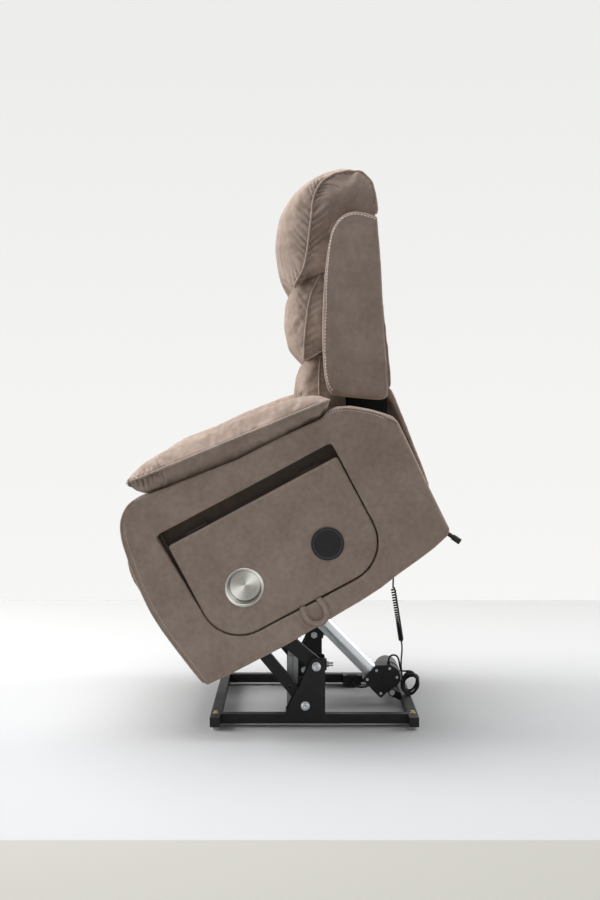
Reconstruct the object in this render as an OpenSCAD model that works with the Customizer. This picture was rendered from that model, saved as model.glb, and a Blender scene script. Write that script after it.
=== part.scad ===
// Power lift recliner, raised and tilted forward, as it stands to help a sitter up.
// Millimetres. +Z is up, the chair faces -Y and +X is the sitter's left.
// The origin lies on the floor, under the middle of the raised chair's outline.
// Chair pieces are drawn in the chair's own level frame: X across, Y back from the
// arms' front edge and Z up from the arms' bottom edge, and are then tilted as one.

/* [Chair] */
// Width over the arm sides
chair_w = 860; // [760:10:1040]
// Width of each arm
arm_w = 155; // [130:5:190]
// Depth of the arms at their bottom edge
arm_d = 705; // [580:5:850]
// Height of the arms at their front
arm_h = 485; // [470:5:580]
// Wall of the upholstered arms
arm_wall = 22; // [16:1:27]
// Forward tilt of the raised chair
lift_tilt = 28; // [22:1:30]

/* [Base] */
// Depth of the base frame
base_d = 540; // [500:10:640]
// Side of the square steel tube
tube = 25; // [20:1:30]
// Wall of the square steel tube
tube_wall = 2; // [1.5:0.5:3]
// How far the crossbars reach past the inner faces of the arms
bar_reach = 25; // [10:5:60]
// Height of the floor glides
glide_h = 8; // [5:1:14]
// Height of the towers above the base frame
tower_h = 146; // [144:1:176]
// Width of a tower over its two plates
tower_w = 61; // [58:1:72]

/* [Lift linkage] */
// Lower tower pivot to lower carriage pivot
lower_len = 255; // [240:5:270]
// Upper tower pivot to upper carriage pivot
upper_len = 252; // [240:4:268]
// Width of the lower links
lower_link_w = 30; // [26:1:34]
// Width of the upper links
upper_link_w = 36; // [30:1:37]
// Thickness of both pairs of links
link_t = 19; // [12:1:22]
// Radius of the tower bolts
bolt_r = 6; // [5:0.5:7]
// Length of the extended actuator, pin to pin
actuator_len = 600; // [560:5:610]
// Outer diameter of the actuator tube
actuator_d = 43; // [36:1:52]
// Diameter of the actuator rod
rod_d = 20; // [16:1:24]

/* [Seat and footrest] */
// Thickness of the seat cushion at its front
seat_t = 122; // [96:2:146]
// Height of the seat frame above the arms' bottom edge
seat_z = 285; // [280:5:300]
// Length of the footrest board
foot_len = 285; // [265:5:310]
// Lean of the closed footrest, along the arms' front edges
foot_lean = 4.5; // [0:0.5:6]
// Length of each footrest bar
foot_bar = 205; // [200:1:212]

/* [Back] */
// Lean of the back from upright
back_lean = 24.4; // [20:0.2:28]
// Length of the back's frame above its foot
back_len = 450; // [420:5:560]
// Thickness of each padded wing
wing_w = 50; // [40:2:60]
// How far the wings overhang the arms' inner faces
wing_reach = 60; // [52:2:80]

/* [Side table] */
// Length of the table panel
panel_len = 475; // [400:5:480]
// Height of the table panel
panel_h = 288; // [240:2:292]
// Thickness of the table panel
panel_t = 20; // [16:1:22]
// Corner radius of the panel's lower edge
panel_r = 100; // [40:2:110]
// Gap all round the panel
panel_gap = 3; // [2.4:0.2:5]
// Outer diameter of the cup holder's flange
cup_d = 98; // [80:2:118]
// Depth of the cup holder
cup_depth = 60; // [44:2:72]
// Diameter of the charging pad
charger_d = 82; // [68:2:98]

/* [Cords] */
// Diameter of the curly handset cord
wire_d = 4.5; // [3.5:0.1:5]
// Outer diameter of its curls
curl_d = 15; // [13:0.5:18]
// Number of its curls
curls = 25; // [20:1:28]
// Diameter of the lead in the tied hank
lead_d = 5.5; // [4.5:0.1:5.8]

/* [Hidden] */

fabric = "#8f7f72";
lit_fabric = "#a39485";
steel = "#202122";
zinc = "#c9ccd0";
plastic = "#1b1b1c";
wood = "#b08a5a";

clear = 0.3;
fit = 0.05;
set_back = 62.2;

function heading(a) = [cos(a), sin(a)];
function turn(p, a) = [p.x * cos(a) - p.y * sin(a), p.x * sin(a) + p.y * cos(a)];
function unit(v) = v / norm(v);
function half_turned(a) = a > 180 ? a - 360 : a < -180 ? a + 360 : a;

// Lanes across the chair, from the arms' inner faces towards the middle.
inner_x = chair_w / 2 - arm_w;
face_x = chair_w / 2;
rail_x = inner_x - 14;
bar_half = inner_x + bar_reach;
plate_t = 3;
tower_in = rail_x - tower_w;
link_x1 = rail_x - plate_t - 18;
link_x0 = link_x1 - link_t;
side_x1 = tower_in - 15;
side_x0 = side_x1 - 5;
foot_t = 6;
rear_bar_x = side_x0 - 4 - foot_t;
front_bar_x = rear_bar_x - 2 - foot_t;
ear_x = front_bar_x - 2 - foot_t;

// Tower pivots, as distances back from the base's centre and up from the floor.
foot_z = glide_h + tube;
pivot_a = [-23.4, foot_z + 21.4];
pivot_b = [5.7, foot_z + 123.9];
lower_angle = 129.8;
upper_angle = 140.5;
// Carriage pivots: C on the lower links and D on the upper ones.
pivot_c = [124, 50];
c_at = pivot_a + lower_len * heading(lower_angle);
d_at = pivot_b + upper_len * heading(upper_angle);
chair_at = c_at - turn(pivot_c, lift_tilt);
pivot_d = turn(d_at - chair_at, -lift_tilt);
// The actuator's rear pin on the base, and its front pin on the carriage.
actuator_foot = [base_d / 2 - tube - 24, foot_z];
actuator_angle = 134.5;
pivot_e = turn(actuator_foot + actuator_len * heading(actuator_angle) - chair_at, -lift_tilt);
pin_r = 5;
// Footrest pivots: G on the carriage, H on the board, J between the bars.
pivot_g = [130, 215];
pivot_h = [-12, 215];
foot_span = norm(pivot_g - pivot_h);
pivot_j = (pivot_g + pivot_h) / 2 - [0, sqrt(foot_bar * foot_bar - foot_span * foot_span / 4)];
// The seat frame, the recline pin and the foot of the back's rear face.
seat_rail_h = 40;
seat_back = arm_d - 145;
recline_at = [arm_d - 105, seat_z + 45];
recline_r = 8;
back_foot = [arm_d + 43, seat_z + 143];

// The arc that rounds corner p, between its neighbours a and b.
function corner_arc(p, a, b, r, steps) =
    let (u = unit(a - p), w = unit(b - p), half = acos(u * w) / 2,
         c = p + unit(u + w) * r / sin(half), s = p + u * r / tan(half) - c,
         e = p + w * r / tan(half) - c, from = atan2(s.y, s.x),
         sweep = half_turned(atan2(e.y, e.x) - from))
    [for (i = [0 : steps]) c + r * heading(from + sweep * i / steps)];

// A closed outline from corners [y, z, radius].
function outline(c, steps = 4) = [for (i = [0 : len(c) - 1])
    let (p = [c[i].x, c[i].y], a = c[(i + len(c) - 1) % len(c)], b = c[(i + 1) % len(c)])
    each c[i].z == 0 ? [p] : corner_arc(p, [a.x, a.y], [b.x, b.y], c[i].z, steps)];

module base_part() translate([0, set_back, 0]) children();
module chair_part() base_part() translate([0, chair_at.x, chair_at.y])
    rotate([lift_tilt, 0, 0]) children();
// The back's own frame: Y forward is negative, Z runs up along the back.
module back_part() chair_part() translate([0, back_foot.x, back_foot.y])
    rotate([-back_lean, 0, 0]) children();
// The actuator's own frame: Y runs towards the chair from the rear pin.
module actuator_part() base_part() translate([0, actuator_foot.x, actuator_foot.y])
    rotate([actuator_angle, 0, 0]) children();
module both() {
    children();
    mirror([1, 0, 0]) children();
}
// A side outline made solid from x0 to x1.
module slab(x0, x1) translate([x0, 0, 0]) rotate([90, 0, 90]) linear_extrude(x1 - x0) children();
module rod(at, r, x0, x1) translate([x0, at.x, at.y]) rotate([0, 90, 0])
    cylinder(h = x1 - x0, r = r, $fn = 48);
module hex(at, r, x0, x1) translate([x0, at.x, at.y]) rotate([0, 90, 0])
    cylinder(h = x1 - x0, r = r, $fn = 6);
module sleeve(at, r, bore, x0, x1) difference() {
    rod(at, r, x0, x1);
    rod(at, bore, x0 - 1, x1 + 1);
}
// A flat bar with round ends from p to q.
module bar(p, q, w, x0, x1) {
    a = atan2(q.y - p.y, q.x - p.x);
    slab(x0, x1) polygon([for (end = [[q, a - 90], [p, a + 90]]) for (i = [0 : 16])
        end[0] + w / 2 * heading(end[1] + i * 180 / 16)]);
}

// A closed skin over rings that run clockwise as the next ring sees them.
function mean(p) = [for (q = p) 1] * p / len(p);
module skin(rings) {
    n = len(rings[0]);
    m = len(rings);
    polyhedron(
        points = concat([for (r = rings) each r], [mean(rings[0]), mean(rings[m - 1])]),
        faces = concat(
            [for (i = [0 : m - 2]) for (j = [0 : n - 1])
                each [[i * n + j, i * n + (j + 1) % n, (i + 1) * n + (j + 1) % n],
                      [i * n + j, (i + 1) * n + (j + 1) % n, (i + 1) * n + j]]],
            [for (j = [0 : n - 1]) [m * n, (j + 1) % n, j]],
            [for (j = [0 : n - 1]) [m * n + 1, (m - 1) * n + j, (m - 1) * n + (j + 1) % n]]));
}

// A stuffed piece: a side outline, fullest in the middle and drawn in about its core
// towards both sides.
pad_stations = [-1, -0.9, -0.62, 0, 0.62, 0.9, 1];
function winding(p) = [for (i = [0 : len(p) - 1]) cross(p[i], p[(i + 1) % len(p)])]
    * [for (i = [0 : len(p) - 1]) 1];
function clockwise(p) = winding(p) < 0 ? p : [for (i = [len(p) - 1 : -1 : 0]) p[i]];
module stuffed(x0, x1, profile, core, draw) {
    mid = (x0 + x1) / 2;
    half = (x1 - x0) / 2;
    skin([for (t = pad_stations) let (s = [1, 1] - draw * pow(abs(t), 3))
            [for (p = clockwise(profile)) [mid + half * t, core.x + s.x * (p.x - core.x),
                core.y + s.y * (p.y - core.y)]]]);
}

// A round tube swept along points, its rings carried on without twist.
function along(path, i) = unit(path[min(i + 1, len(path) - 1)] - path[max(i - 1, 0)]);
function square_to(n, t) = unit(n - (n * t) * t);
module swept(path, r, sides) {
    last = len(path) - 1;
    normals = [for (i = 0, n = square_to([0.31, 0.93, 0.2], along(path, 0)); i <= last;
        i = i + 1, n = i <= last ? square_to(n, along(path, i)) : n) n];
    skin([for (i = [0 : last]) let (b = cross(along(path, i), normals[i]))
            [for (k = [0 : sides - 1]) let (a = -360 * k / sides)
                path[i] + r * (cos(a) * normals[i] + sin(a) * b)]]);
}
// Clear space between stretches of a tube that lie at least this many rings apart.
function least_gap(path, rings, d) = min([for (i = [0 : len(path) - 1 - rings])
    for (j = [i + rings : len(path) - 1]) norm(path[i] - path[j])]) - d;

// ---- base frame ----
bar_y = base_d / 2 - tube / 2;
bar_z = glide_h + tube / 2;
cap_t = 3;
core_side = tube - 2 * tube_wall;
module crossbar(y) color(steel) base_part() translate([0, y, bar_z]) difference() {
    cube([2 * (bar_half - cap_t), tube, tube], center = true);
    cube([2 * bar_half, core_side, core_side], center = true);
}
module front_crossbar() crossbar(-bar_y);
module rear_crossbar() crossbar(bar_y);
module side_rails() color(steel) base_part() both() translate([rail_x - tube / 2, 0, bar_z])
    difference() {
        cube([tube, base_d - 2 * tube, tube], center = true);
        cube([core_side, base_d, core_side], center = true);
    }
module crossbar_caps() color(plastic) base_part() both() for (y = [-bar_y, bar_y]) {
    plug = core_side - 2 * clear;
    translate([bar_half - cap_t, y - tube / 2, glide_h]) cube([cap_t, tube, tube]);
    translate([bar_half - cap_t - 12, y - plug / 2, bar_z - plug / 2]) cube([12, plug, plug]);
}
glide_x = bar_half - 22;
module floor_glides() color("#e8ecee") base_part() both() for (y = [-bar_y, bar_y])
    translate([glide_x, y, 0]) cylinder(h = glide_h, r = 11, $fn = 48);
module frame_bolts() color("#c8b560") base_part() both() for (y = [-bar_y, bar_y])
    translate([rail_x - tube / 2, y, foot_z]) {
        cylinder(h = 1.5, r = 8, $fn = 48);
        cylinder(h = 6, r = 6, $fn = 6);
    }

// ---- towers ----
tower_front = -75;
tower_rear = 28.6;
tower_top = foot_z + tower_h;
tower_side = outline([[tower_front, foot_z, 0], [tower_rear, foot_z, 0],
    [tower_rear, tower_top, 7], [-4, tower_top, 10]]);
lane_mid = (link_x0 + link_x1) / 2;
channel_w = 13;
stop_plate_t = 4.4;
stop_r = 5;
module towers() color(steel) base_part() both() difference() {
    union() {
        slab(rail_x - plate_t, rail_x) polygon(tower_side);
        slab(tower_in, tower_in + plate_t) polygon(tower_side);
        translate([tower_in - channel_w - 1, tower_front, foot_z])
            cube([tower_w + channel_w + 1, tower_rear - tower_front, plate_t]);
        translate([tower_in, tower_rear - plate_t, foot_z])
            cube([tower_w, plate_t, tower_h - 8]);
        translate([link_x0, tower_rear - 1, pivot_b.y - 14])
            cube([link_t, stop_plate_t + 1, 28]);
    }
    for (p = [pivot_a, pivot_b]) rod(p, bolt_r + fit, tower_in - 1, rail_x + 1);
    translate([lane_mid, 0, pivot_b.y]) rotate([-90, 0, 0])
        cylinder(h = 60, r = stop_r + fit, $fn = 48);
}
// Pressed upright channels on the foot plates, beside the towers' inner plates.
module tower_channels() color("#9b9da0") base_part() both()
    translate([tower_in - channel_w, tower_front + 3, foot_z + plate_t]) difference() {
        cube([channel_w - clear, 30, tower_h - plate_t - 7]);
        translate([3, 13.5, -1]) cube([channel_w, 4, tower_h]);
    }
module tower_bolts() color(zinc) base_part() both() for (p = [pivot_a, pivot_b]) {
    rod(p, bolt_r, tower_in - 8, rail_x + 8);
    rod(p, 11.5, rail_x, rail_x + 3);
    hex(p, 10.5, rail_x + 2, rail_x + 8);
    hex(p, 10, tower_in - 7, tower_in);
}
module pivot_bushes() color(zinc) base_part() both() for (p = [pivot_a, pivot_b]) {
    sleeve(p, 10, bolt_r + fit, link_x1 + clear, rail_x - plate_t);
    sleeve(p, 10, bolt_r + fit, tower_in + plate_t, link_x0 - clear);
}
module stop_bolts() color("#b9b08a") base_part() both()
    translate([lane_mid, tower_rear, pivot_b.y]) rotate([-90, 0, 0]) {
        translate([0, 0, -plate_t - 0.5]) cylinder(h = 25, r = stop_r, $fn = 48);
        translate([0, 0, stop_plate_t]) cylinder(h = 6, r = 8, $fn = 6);
    }

// ---- lift links, each pair joined by a cross tube ----
tie_r = 12;
tie_wall = 2;
tie_at = 200;
open_hole_r = 9.2;
module lower_links() color(steel) base_part() {
    both() difference() {
        bar(pivot_a, c_at, lower_link_w, link_x0, link_x1);
        rod(pivot_a, bolt_r + fit, link_x0 - 1, link_x1 + 1);
        rod(c_at, bolt_r + fit, link_x0 - 1, link_x1 + 1);
        rod(pivot_a + 60 * heading(lower_angle), 4.5, link_x0 - 1, link_x1 + 1);
    }
    sleeve(pivot_a + tie_at * heading(lower_angle), tie_r, tie_r - tie_wall, -link_x0 - 1,
        link_x0 + 1);
}
module upper_links() color(steel) base_part() {
    both() difference() {
        bar(pivot_b, d_at, upper_link_w, link_x0, link_x1);
        rod(pivot_b, bolt_r + fit, link_x0 - 1, link_x1 + 1);
        rod(d_at, open_hole_r, link_x0 - 1, link_x1 + 1);
    }
    sleeve(pivot_b + tie_at * heading(upper_angle), tie_r, tie_r - tie_wall, -link_x0 - 1,
        link_x0 + 1);
}

// ---- carriage ----
rear_tube_at = [seat_back - 10, 130];
top_tube_at = pivot_e + [13, 31];
module carriage_plates() color(steel) chair_part() both() difference() {
    slab(side_x0, side_x1) polygon(outline([[10, seat_z, 0], [10, 262, 0], [98, 190, 12],
        [102, 26, 16], [146, 26, 16], [178, 118, 10], [200, 180, 10], [360, 205, 40],
        [rear_tube_at.x - 25, rear_tube_at.y - 18, 12],
        [rear_tube_at.x + 20, rear_tube_at.y - 18, 10], [rear_tube_at.x + 20, seat_z, 0]]));
    for (p = [pivot_c, pivot_d, pivot_g]) rod(p, bolt_r + fit, side_x0 - 1, side_x1 + 1);
}
module carriage_tubes() color(steel) chair_part() for (p = [top_tube_at, rear_tube_at])
    sleeve(p, tie_r, tie_r - tie_wall, -side_x0, side_x0);
module link_stud(p, end_r, head_r) {
    rod(p, bolt_r, side_x0 - 6, link_x0 - 1);
    rod(p, end_r, link_x0 - 1, link_x1 + 3);
    rod(p, 11, side_x1, link_x0 - clear);
    rod(p, head_r, link_x1 + clear, link_x1 + 5);
    hex(p, 10, side_x0 - 7, side_x0);
}
module carriage_studs() color(zinc) chair_part() both() {
    link_stud(pivot_c, bolt_r, 11);
    link_stud(pivot_d, pin_r, 14);
    rod(pivot_g, bolt_r, rear_bar_x - 1.6, side_x1 + 4);
    hex(pivot_g, 10, side_x1, side_x1 + 6);
}
// Two ears under the top tube, slotted along the chair so that the actuator only pushes.
slot_mid = pivot_e + [1.1, 0];
slot_len = 17;
slot_r = pin_r + 3.3;
ear_x0 = 12;
ear_t = 5;
module actuator_bracket() color(steel) chair_part() both() slab(ear_x0, ear_x0 + ear_t)
    difference() {
        polygon(outline([[slot_mid.x - 17, slot_mid.y - slot_len - 16, 14],
            [slot_mid.x + 17, slot_mid.y - slot_len - 16, 14],
            [top_tube_at.x + 6, top_tube_at.y, 0], [top_tube_at.x - 30, top_tube_at.y, 8]]));
        for (z = [0, slot_len]) translate(slot_mid - [0, z]) circle(r = slot_r, $fn = 48);
        translate(slot_mid - [slot_r, slot_len]) square([2 * slot_r, slot_len]);
        translate(top_tube_at) circle(r = tie_r + fit, $fn = 48);
    }
// Hanger on the rear tube that grips the handset cord.
cord_x = 120;
cord_grip = [588, 52];
hanger_at = rear_tube_at + [38, -78];
module cord_hanger() color(plastic) chair_part() {
    difference() {
        slab(cord_x - 6, cord_x + 6) polygon([rear_tube_at + [-6, -4], rear_tube_at + [6, 4],
            hanger_at + [9, 13], hanger_at + [1, 5]]);
        rod(rear_tube_at, tie_r + fit, cord_x - 7, cord_x + 7);
    }
    translate([cord_x, hanger_at.x, hanger_at.y]) rotate([-lift_tilt, 0, 0])
        cylinder(h = 16, r = 6, $fn = 48);
}

// ---- actuator ----
body_end = 88;
boss_at = [40, -26];
lug_t = 10;
module gearbox() color(plastic) actuator_part() difference() {
    union() {
        slab(-28, 28) polygon(outline([[body_end, -24, 4], [body_end, 32, 4], [14, 32, 6],
            [14, -20, 0], [20, -50, 0], [60, -54, 6]]));
        rod(boss_at, 32, -28, 28);
        rod(boss_at, 20, 28, 30);
        translate([-lug_t / 2, 0, -9]) cube([lug_t, 16, 18]);
        rod([0, 0], 9, -lug_t / 2, lug_t / 2);
        for (p = [[78, 22], [78, -14], [24, 22], [26, -40], [56, -44]]) rod(p, 4, 28, 29.5);
        translate([14, boss_at.x, boss_at.y]) rotate([-actuator_angle, 0, 0])
            translate([0, 0, 28]) cylinder(h = 14, r = 4.5, $fn = 48);
    }
    rod([0, 0], pin_r + fit, -lug_t, lug_t);
}
module motor_can() color(zinc) actuator_part() {
    rod(boss_at, 34, -112, -28);
    rod(boss_at, 26, -118, -112);
}
tube_end = 400;
module actuator_tube() color("#dfe4e8") actuator_part() rotate([-90, 0, 0]) difference() {
    translate([0, 0, body_end]) cylinder(h = tube_end - body_end, r = actuator_d / 2, $fn = 96);
    translate([0, 0, body_end + 4]) cylinder(h = tube_end, r = rod_d / 2 + fit, $fn = 64);
}
module actuator_rod() color(zinc) actuator_part() {
    difference() {
        union() {
            translate([0, body_end + 130, 0]) rotate([-90, 0, 0])
                cylinder(h = actuator_len - body_end - 140, r = rod_d / 2, $fn = 64);
            rod([actuator_len, 0], 13, -9, 9);
        }
        rod([actuator_len, 0], pin_r + fit, -12, 12);
    }
    rod([actuator_len, 0], pin_r, -ear_x0 - ear_t - 4, ear_x0 + ear_t + 4);
    both() rod([actuator_len, 0], 12, ear_x0 + ear_t + 0.5, ear_x0 + ear_t + 4);
}
module actuator_clevis() color(steel) base_part() difference() {
    for (x = [-lug_t / 2 - 4.5, lug_t / 2 + 0.5]) {
        rod(actuator_foot, 11, x, x + 4);
        slab(x, x + 4) polygon([actuator_foot + [0, 10.9], [base_d / 2 - tube, foot_z],
            [base_d / 2 - tube, glide_h + 3], actuator_foot + [-4, -10]]);
    }
    rod(actuator_foot, pin_r + fit, -12, 12);
}
module clevis_pin() color(zinc) base_part() {
    rod(actuator_foot, pin_r, -14, 14);
    both() rod(actuator_foot, 8, lug_t / 2 + 4.5, lug_t / 2 + 7);
}
box_x = rail_x - tube;
module control_box() color(plastic) base_part() translate([-box_x, 92, 6]) {
    cube([34, 53, 30]);
    translate([8, 10, 30]) cube([18, 33, 2]);
    translate([34, 28, 14]) rotate([0, 90, 0]) cylinder(h = 8, r = 4.5, $fn = 48);
}

// ---- seat ----
seat_rail_x = inner_x - 40;
module seat_side_rails() color(wood) chair_part() both() difference() {
    slab(seat_rail_x, inner_x) polygon(outline([[10, seat_z, 0],
        [recline_at.x + 25, seat_z, 8], [recline_at.x + 25, recline_at.y + 25, 20],
        [recline_at.x - 25, recline_at.y + 25, 14],
        [recline_at.x - 34, seat_z + seat_rail_h, 0], [10, seat_z + seat_rail_h, 0]]));
    rod(recline_at, recline_r + fit, seat_rail_x - 1, inner_x + 1);
}
module seat_cross_rails() color(wood) chair_part() for (y = [10, seat_back - 40])
    translate([-seat_rail_x, y, seat_z]) cube([2 * seat_rail_x, 40, seat_rail_h]);
module seat_webbing() color("#3a3a3c") chair_part() for (i = [-2 : 2])
    translate([i * 88 - 30, 12, seat_z + seat_rail_h]) cube([60, seat_back - 14, 2]);
seat_low = seat_z + seat_rail_h + 2 + clear;
module seat_cushion() color(lit_fabric) chair_part() stuffed(-inner_x + 7, inner_x - 7,
    outline([[-6, seat_low, 16], [seat_back - 4, seat_low, 16],
        [seat_back, seat_low + seat_t - 40, 26], [180, seat_low + seat_t - 4, 260],
        [2, seat_low + seat_t + 2, 30], [-12, seat_low + 60, 60]], 3),
    [280, seat_low], [0, 0.14]);

// ---- footrest: two bars a side, a board and a pad ----
module foot_bars_rear() color(steel) chair_part() both() {
    difference() {
        bar(pivot_g, pivot_j, 20, rear_bar_x, rear_bar_x + foot_t);
        rod(pivot_g, bolt_r + fit, rear_bar_x - 1, rear_bar_x + foot_t + 1);
    }
    rod(pivot_j, pin_r, front_bar_x - 1.6, rear_bar_x + 1);
    rod(pivot_j, 8, front_bar_x - 1.6, front_bar_x - 0.4);
}
module foot_bars_front() color(steel) chair_part() both() {
    difference() {
        bar(pivot_j, pivot_h, 20, front_bar_x, front_bar_x + foot_t);
        rod(pivot_j, pin_r + fit, front_bar_x - 1, front_bar_x + foot_t + 1);
    }
    rod(pivot_h, pin_r, ear_x - 1.6, front_bar_x + 1);
    rod(pivot_h, 7, ear_x - 1.6, ear_x - 0.4);
}
board_y = pivot_h.x - 23;
board_t = 12;
board_z = pivot_h.y - 0.5 * foot_len;
module leaning() translate([0, pivot_h.x, pivot_h.y]) rotate([foot_lean, 0, 0])
    translate([0, -pivot_h.x, -pivot_h.y]) children();
module foot_board() color(wood) chair_part() leaning() {
    translate([-inner_x + 18, board_y, board_z]) cube([2 * inner_x - 36, board_t, foot_len]);
    both() difference() {
        union() {
            rod(pivot_h, 12, ear_x, ear_x + foot_t);
            translate([ear_x, board_y + board_t - 1, pivot_h.y - 12])
                cube([foot_t, pivot_h.x - board_y - board_t + 1, 24]);
            translate([ear_x - 24, board_y + board_t - 1, pivot_h.y - 20]) cube([25, 3, 40]);
        }
        rod(pivot_h, pin_r + fit, ear_x - 30, ear_x + foot_t + 1);
    }
}
pad_low = board_z - 6;
pad_high = board_z + foot_len + 3;
module foot_pad() color(fabric) chair_part() leaning() stuffed(-inner_x + 13, inner_x - 13,
    outline([[board_y - clear, pad_low, 3], [board_y - clear, pad_high, 5],
        [board_y - 14, pad_high, 6], [board_y - 32, pad_low + 0.74 * foot_len, 120],
        [board_y - 9, pad_low, 4]], 3),
    [board_y - clear, board_z + foot_len / 2], [0.35, 0.03]);

// ---- arms: closed upholstered boxes over a hollow frame ----
arm_side = outline([[0, 0, 12], [-38, 240, 400], [-16, arm_h - 60, 60], [14, arm_h - 7, 40],
    [78, arm_h - 2, 6], [140, arm_h - 12, 0], [338, arm_h - 35, 0],
    [arm_d - 142, arm_h - 44, 6], [arm_d - 127, arm_h - 28, 10], [arm_d - 80, arm_h - 27, 50],
    [arm_d + 23, arm_h - 113, 50], [arm_d + 2, 50, 12], [arm_d - 105, 26, 300],
    [353, 2, 300]]);
hollow_side = outline([[22, 20, 8], [-14, 240, 300], [8, arm_h - 65, 40],
    [80, arm_h - 30, 10], [arm_d - 140, arm_h - 72, 10], [arm_d - 100, arm_h - 52, 20],
    [arm_d, arm_h - 138, 20], [arm_d - 17, 72, 10], [arm_d - 105, 46, 0], [353, 22, 0]]);
module arm_box(inside_x) difference() {
    slab(inner_x, face_x) polygon(arm_side);
    slab(inner_x + 15, inside_x) polygon(hollow_side);
}
panel_y = 78;
panel_z = 56;
panel_top = panel_z + panel_h;
recess_y0 = panel_y - panel_gap;
recess_y1 = panel_y + panel_len + panel_gap;
recess_z0 = panel_z - panel_gap;
recess_top = panel_top + 37;
module arm_left() color(fabric) chair_part() difference() {
    arm_box(face_x - arm_wall);
    slab(face_x - arm_wall - 1, face_x + 1) polygon(outline([[recess_y0, recess_top, 8],
        [recess_y0, recess_z0, panel_r + panel_gap], [recess_y1, recess_z0, panel_r + panel_gap],
        [recess_y1, recess_top, 8]], 8));
}
handset_w = 50;
handset_l = 150;
handset_t = 23;
handset_at = [165, 256];
pocket_x = face_x - 28;
pocket_gap = 6;
module arm_right() color(fabric) chair_part() mirror([1, 0, 0]) difference() {
    union() {
        arm_box(face_x - arm_wall);
        translate([pocket_x - 6, handset_at.x - 14, handset_at.y - 8])
            cube([28, handset_w + 28, handset_l + 26]);
    }
    translate([pocket_x, handset_at.x - pocket_gap, handset_at.y])
        cube([40, handset_w + 2 * pocket_gap, handset_l + 12]);
}
module arm_pad() chair_part() stuffed(inner_x - 3, face_x + 6,
    outline([[58, arm_h + 43, 10], [88, arm_h + 67, 24], [178, arm_h + 74, 160],
        [385, arm_h + 54, 0], [arm_d - 145, arm_h + 31, 40], [arm_d - 100, arm_h - 10, 8],
        [arm_d - 123, arm_h - 24, 6], [arm_d - 142, arm_h - 43, 6],
        [338, arm_h - 35 + clear, 0], [140, arm_h - 12 + clear, 0],
        [78, arm_h - 2 + clear, 8]], 3),
    [330, arm_h + 10], [0.05, 0.3]);
module arm_pad_left() color(lit_fabric) arm_pad();
module arm_pad_right() color(lit_fabric) mirror([1, 0, 0]) arm_pad();
module rear_bumpers() color(plastic) chair_part() both() difference() {
    translate([face_x - 40, arm_d - 6, 58]) rotate([-152.2, 0, 0]) {
        cylinder(h = 38, r = 5.5, $fn = 48);
        translate([0, 0, 34]) cylinder(h = 22, r = 7.5, $fn = 48);
    }
    slab(face_x - 60, face_x - 20) polygon(arm_side);
}

// ---- side table ----
panel_x1 = face_x - 2;
panel_x0 = panel_x1 - panel_t;
tray_x = panel_x0 - 16;
tray_t = 3;
tray_front = face_x - arm_wall;
cup_at = [panel_y + 120, panel_z + 109];
cup_r = cup_d / 2 - 7;
bowl_x = panel_x1 - cup_depth;
pocket_margin = 10;
module tray_block(x0, x1, out) slab(x0, x1) translate([recess_y0 - out, recess_z0 - out])
    square([recess_y1 - recess_y0 + 2 * out, recess_top - recess_z0 + 2 * out]);
module bowl_block(x0, x1, out) slab(x0, x1)
    translate(cup_at - [cup_r + pocket_margin + out, cup_r + pocket_margin + out])
        square(2 * (cup_r + pocket_margin + out));
module table_tray() color(plastic) chair_part() difference() {
    union() {
        tray_block(tray_x - tray_t, tray_front, tray_t);
        bowl_block(bowl_x - 8 - tray_t, tray_x, tray_t);
    }
    tray_block(tray_x, tray_front + 1, 0);
    bowl_block(bowl_x - 8, tray_x + 1, 0);
}
// The hinge line runs along the panel's top edge.
hinge_x = panel_x0 + 2;
hinge_z = panel_top + 4;
knuckle_r = 3.6;
hinge_pin_r = 2;
hinge_len = 60;
hinge_ys = [panel_y + 50, panel_y + panel_len - 110];
module hinge_rod(r, y0, y1) translate([hinge_x, y0, hinge_z]) rotate([-90, 0, 0])
    cylinder(h = y1 - y0, r = r, $fn = 48);
module table_brackets() color(zinc) chair_part() for (y = hinge_ys) {
    for (y0 = [y, y + hinge_len - 15]) {
        hinge_rod(knuckle_r, y0, y0 + 15);
        translate([tray_x, y0, hinge_z - 2]) cube([hinge_x - tray_x, 15, 4]);
        translate([tray_x, y0, hinge_z - 14]) cube([2, 15, 32]);
    }
    hinge_rod(hinge_pin_r, y, y + hinge_len);
}
module table_hinges() color(zinc) chair_part() for (y = hinge_ys) difference() {
    union() {
        hinge_rod(knuckle_r, y + 16, y + hinge_len - 16);
        translate([panel_x0 - 2.5, y + 16, hinge_z - 44]) cube([2.5, hinge_len - 32, 43]);
    }
    hinge_rod(hinge_pin_r + fit, y, y + hinge_len);
}
charger_at = [panel_y + panel_len - 122, panel_z + 108];
charger_r = charger_d / 2 - 4;
module table_panel() color(fabric) chair_part() difference() {
    slab(panel_x0, panel_x1) polygon(outline([[panel_y, panel_top, 6],
        [panel_y, panel_z, panel_r], [panel_y + panel_len, panel_z, panel_r],
        [panel_y + panel_len, panel_top, 6]], 8));
    rod(cup_at, cup_r + clear, panel_x0 - 1, panel_x1 + 1);
    rod(charger_at, charger_r + clear, panel_x0 - 1, panel_x1 + 1);
}
module cup_holder() color("#c5c8cb") chair_part() difference() {
    union() {
        rod(cup_at, cup_r, bowl_x, panel_x1 + 1);
        rod(cup_at, cup_d / 2, panel_x1, panel_x1 + 2.5);
    }
    rod(cup_at, cup_r - 1.2, bowl_x + 1.5, panel_x1 + 3);
}
module charging_pad() color(plastic) chair_part() {
    rod(charger_at, charger_r, panel_x0 - 6, panel_x1 + 1);
    rod(charger_at, charger_d / 2, panel_x1, panel_x1 + 2);
}
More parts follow.
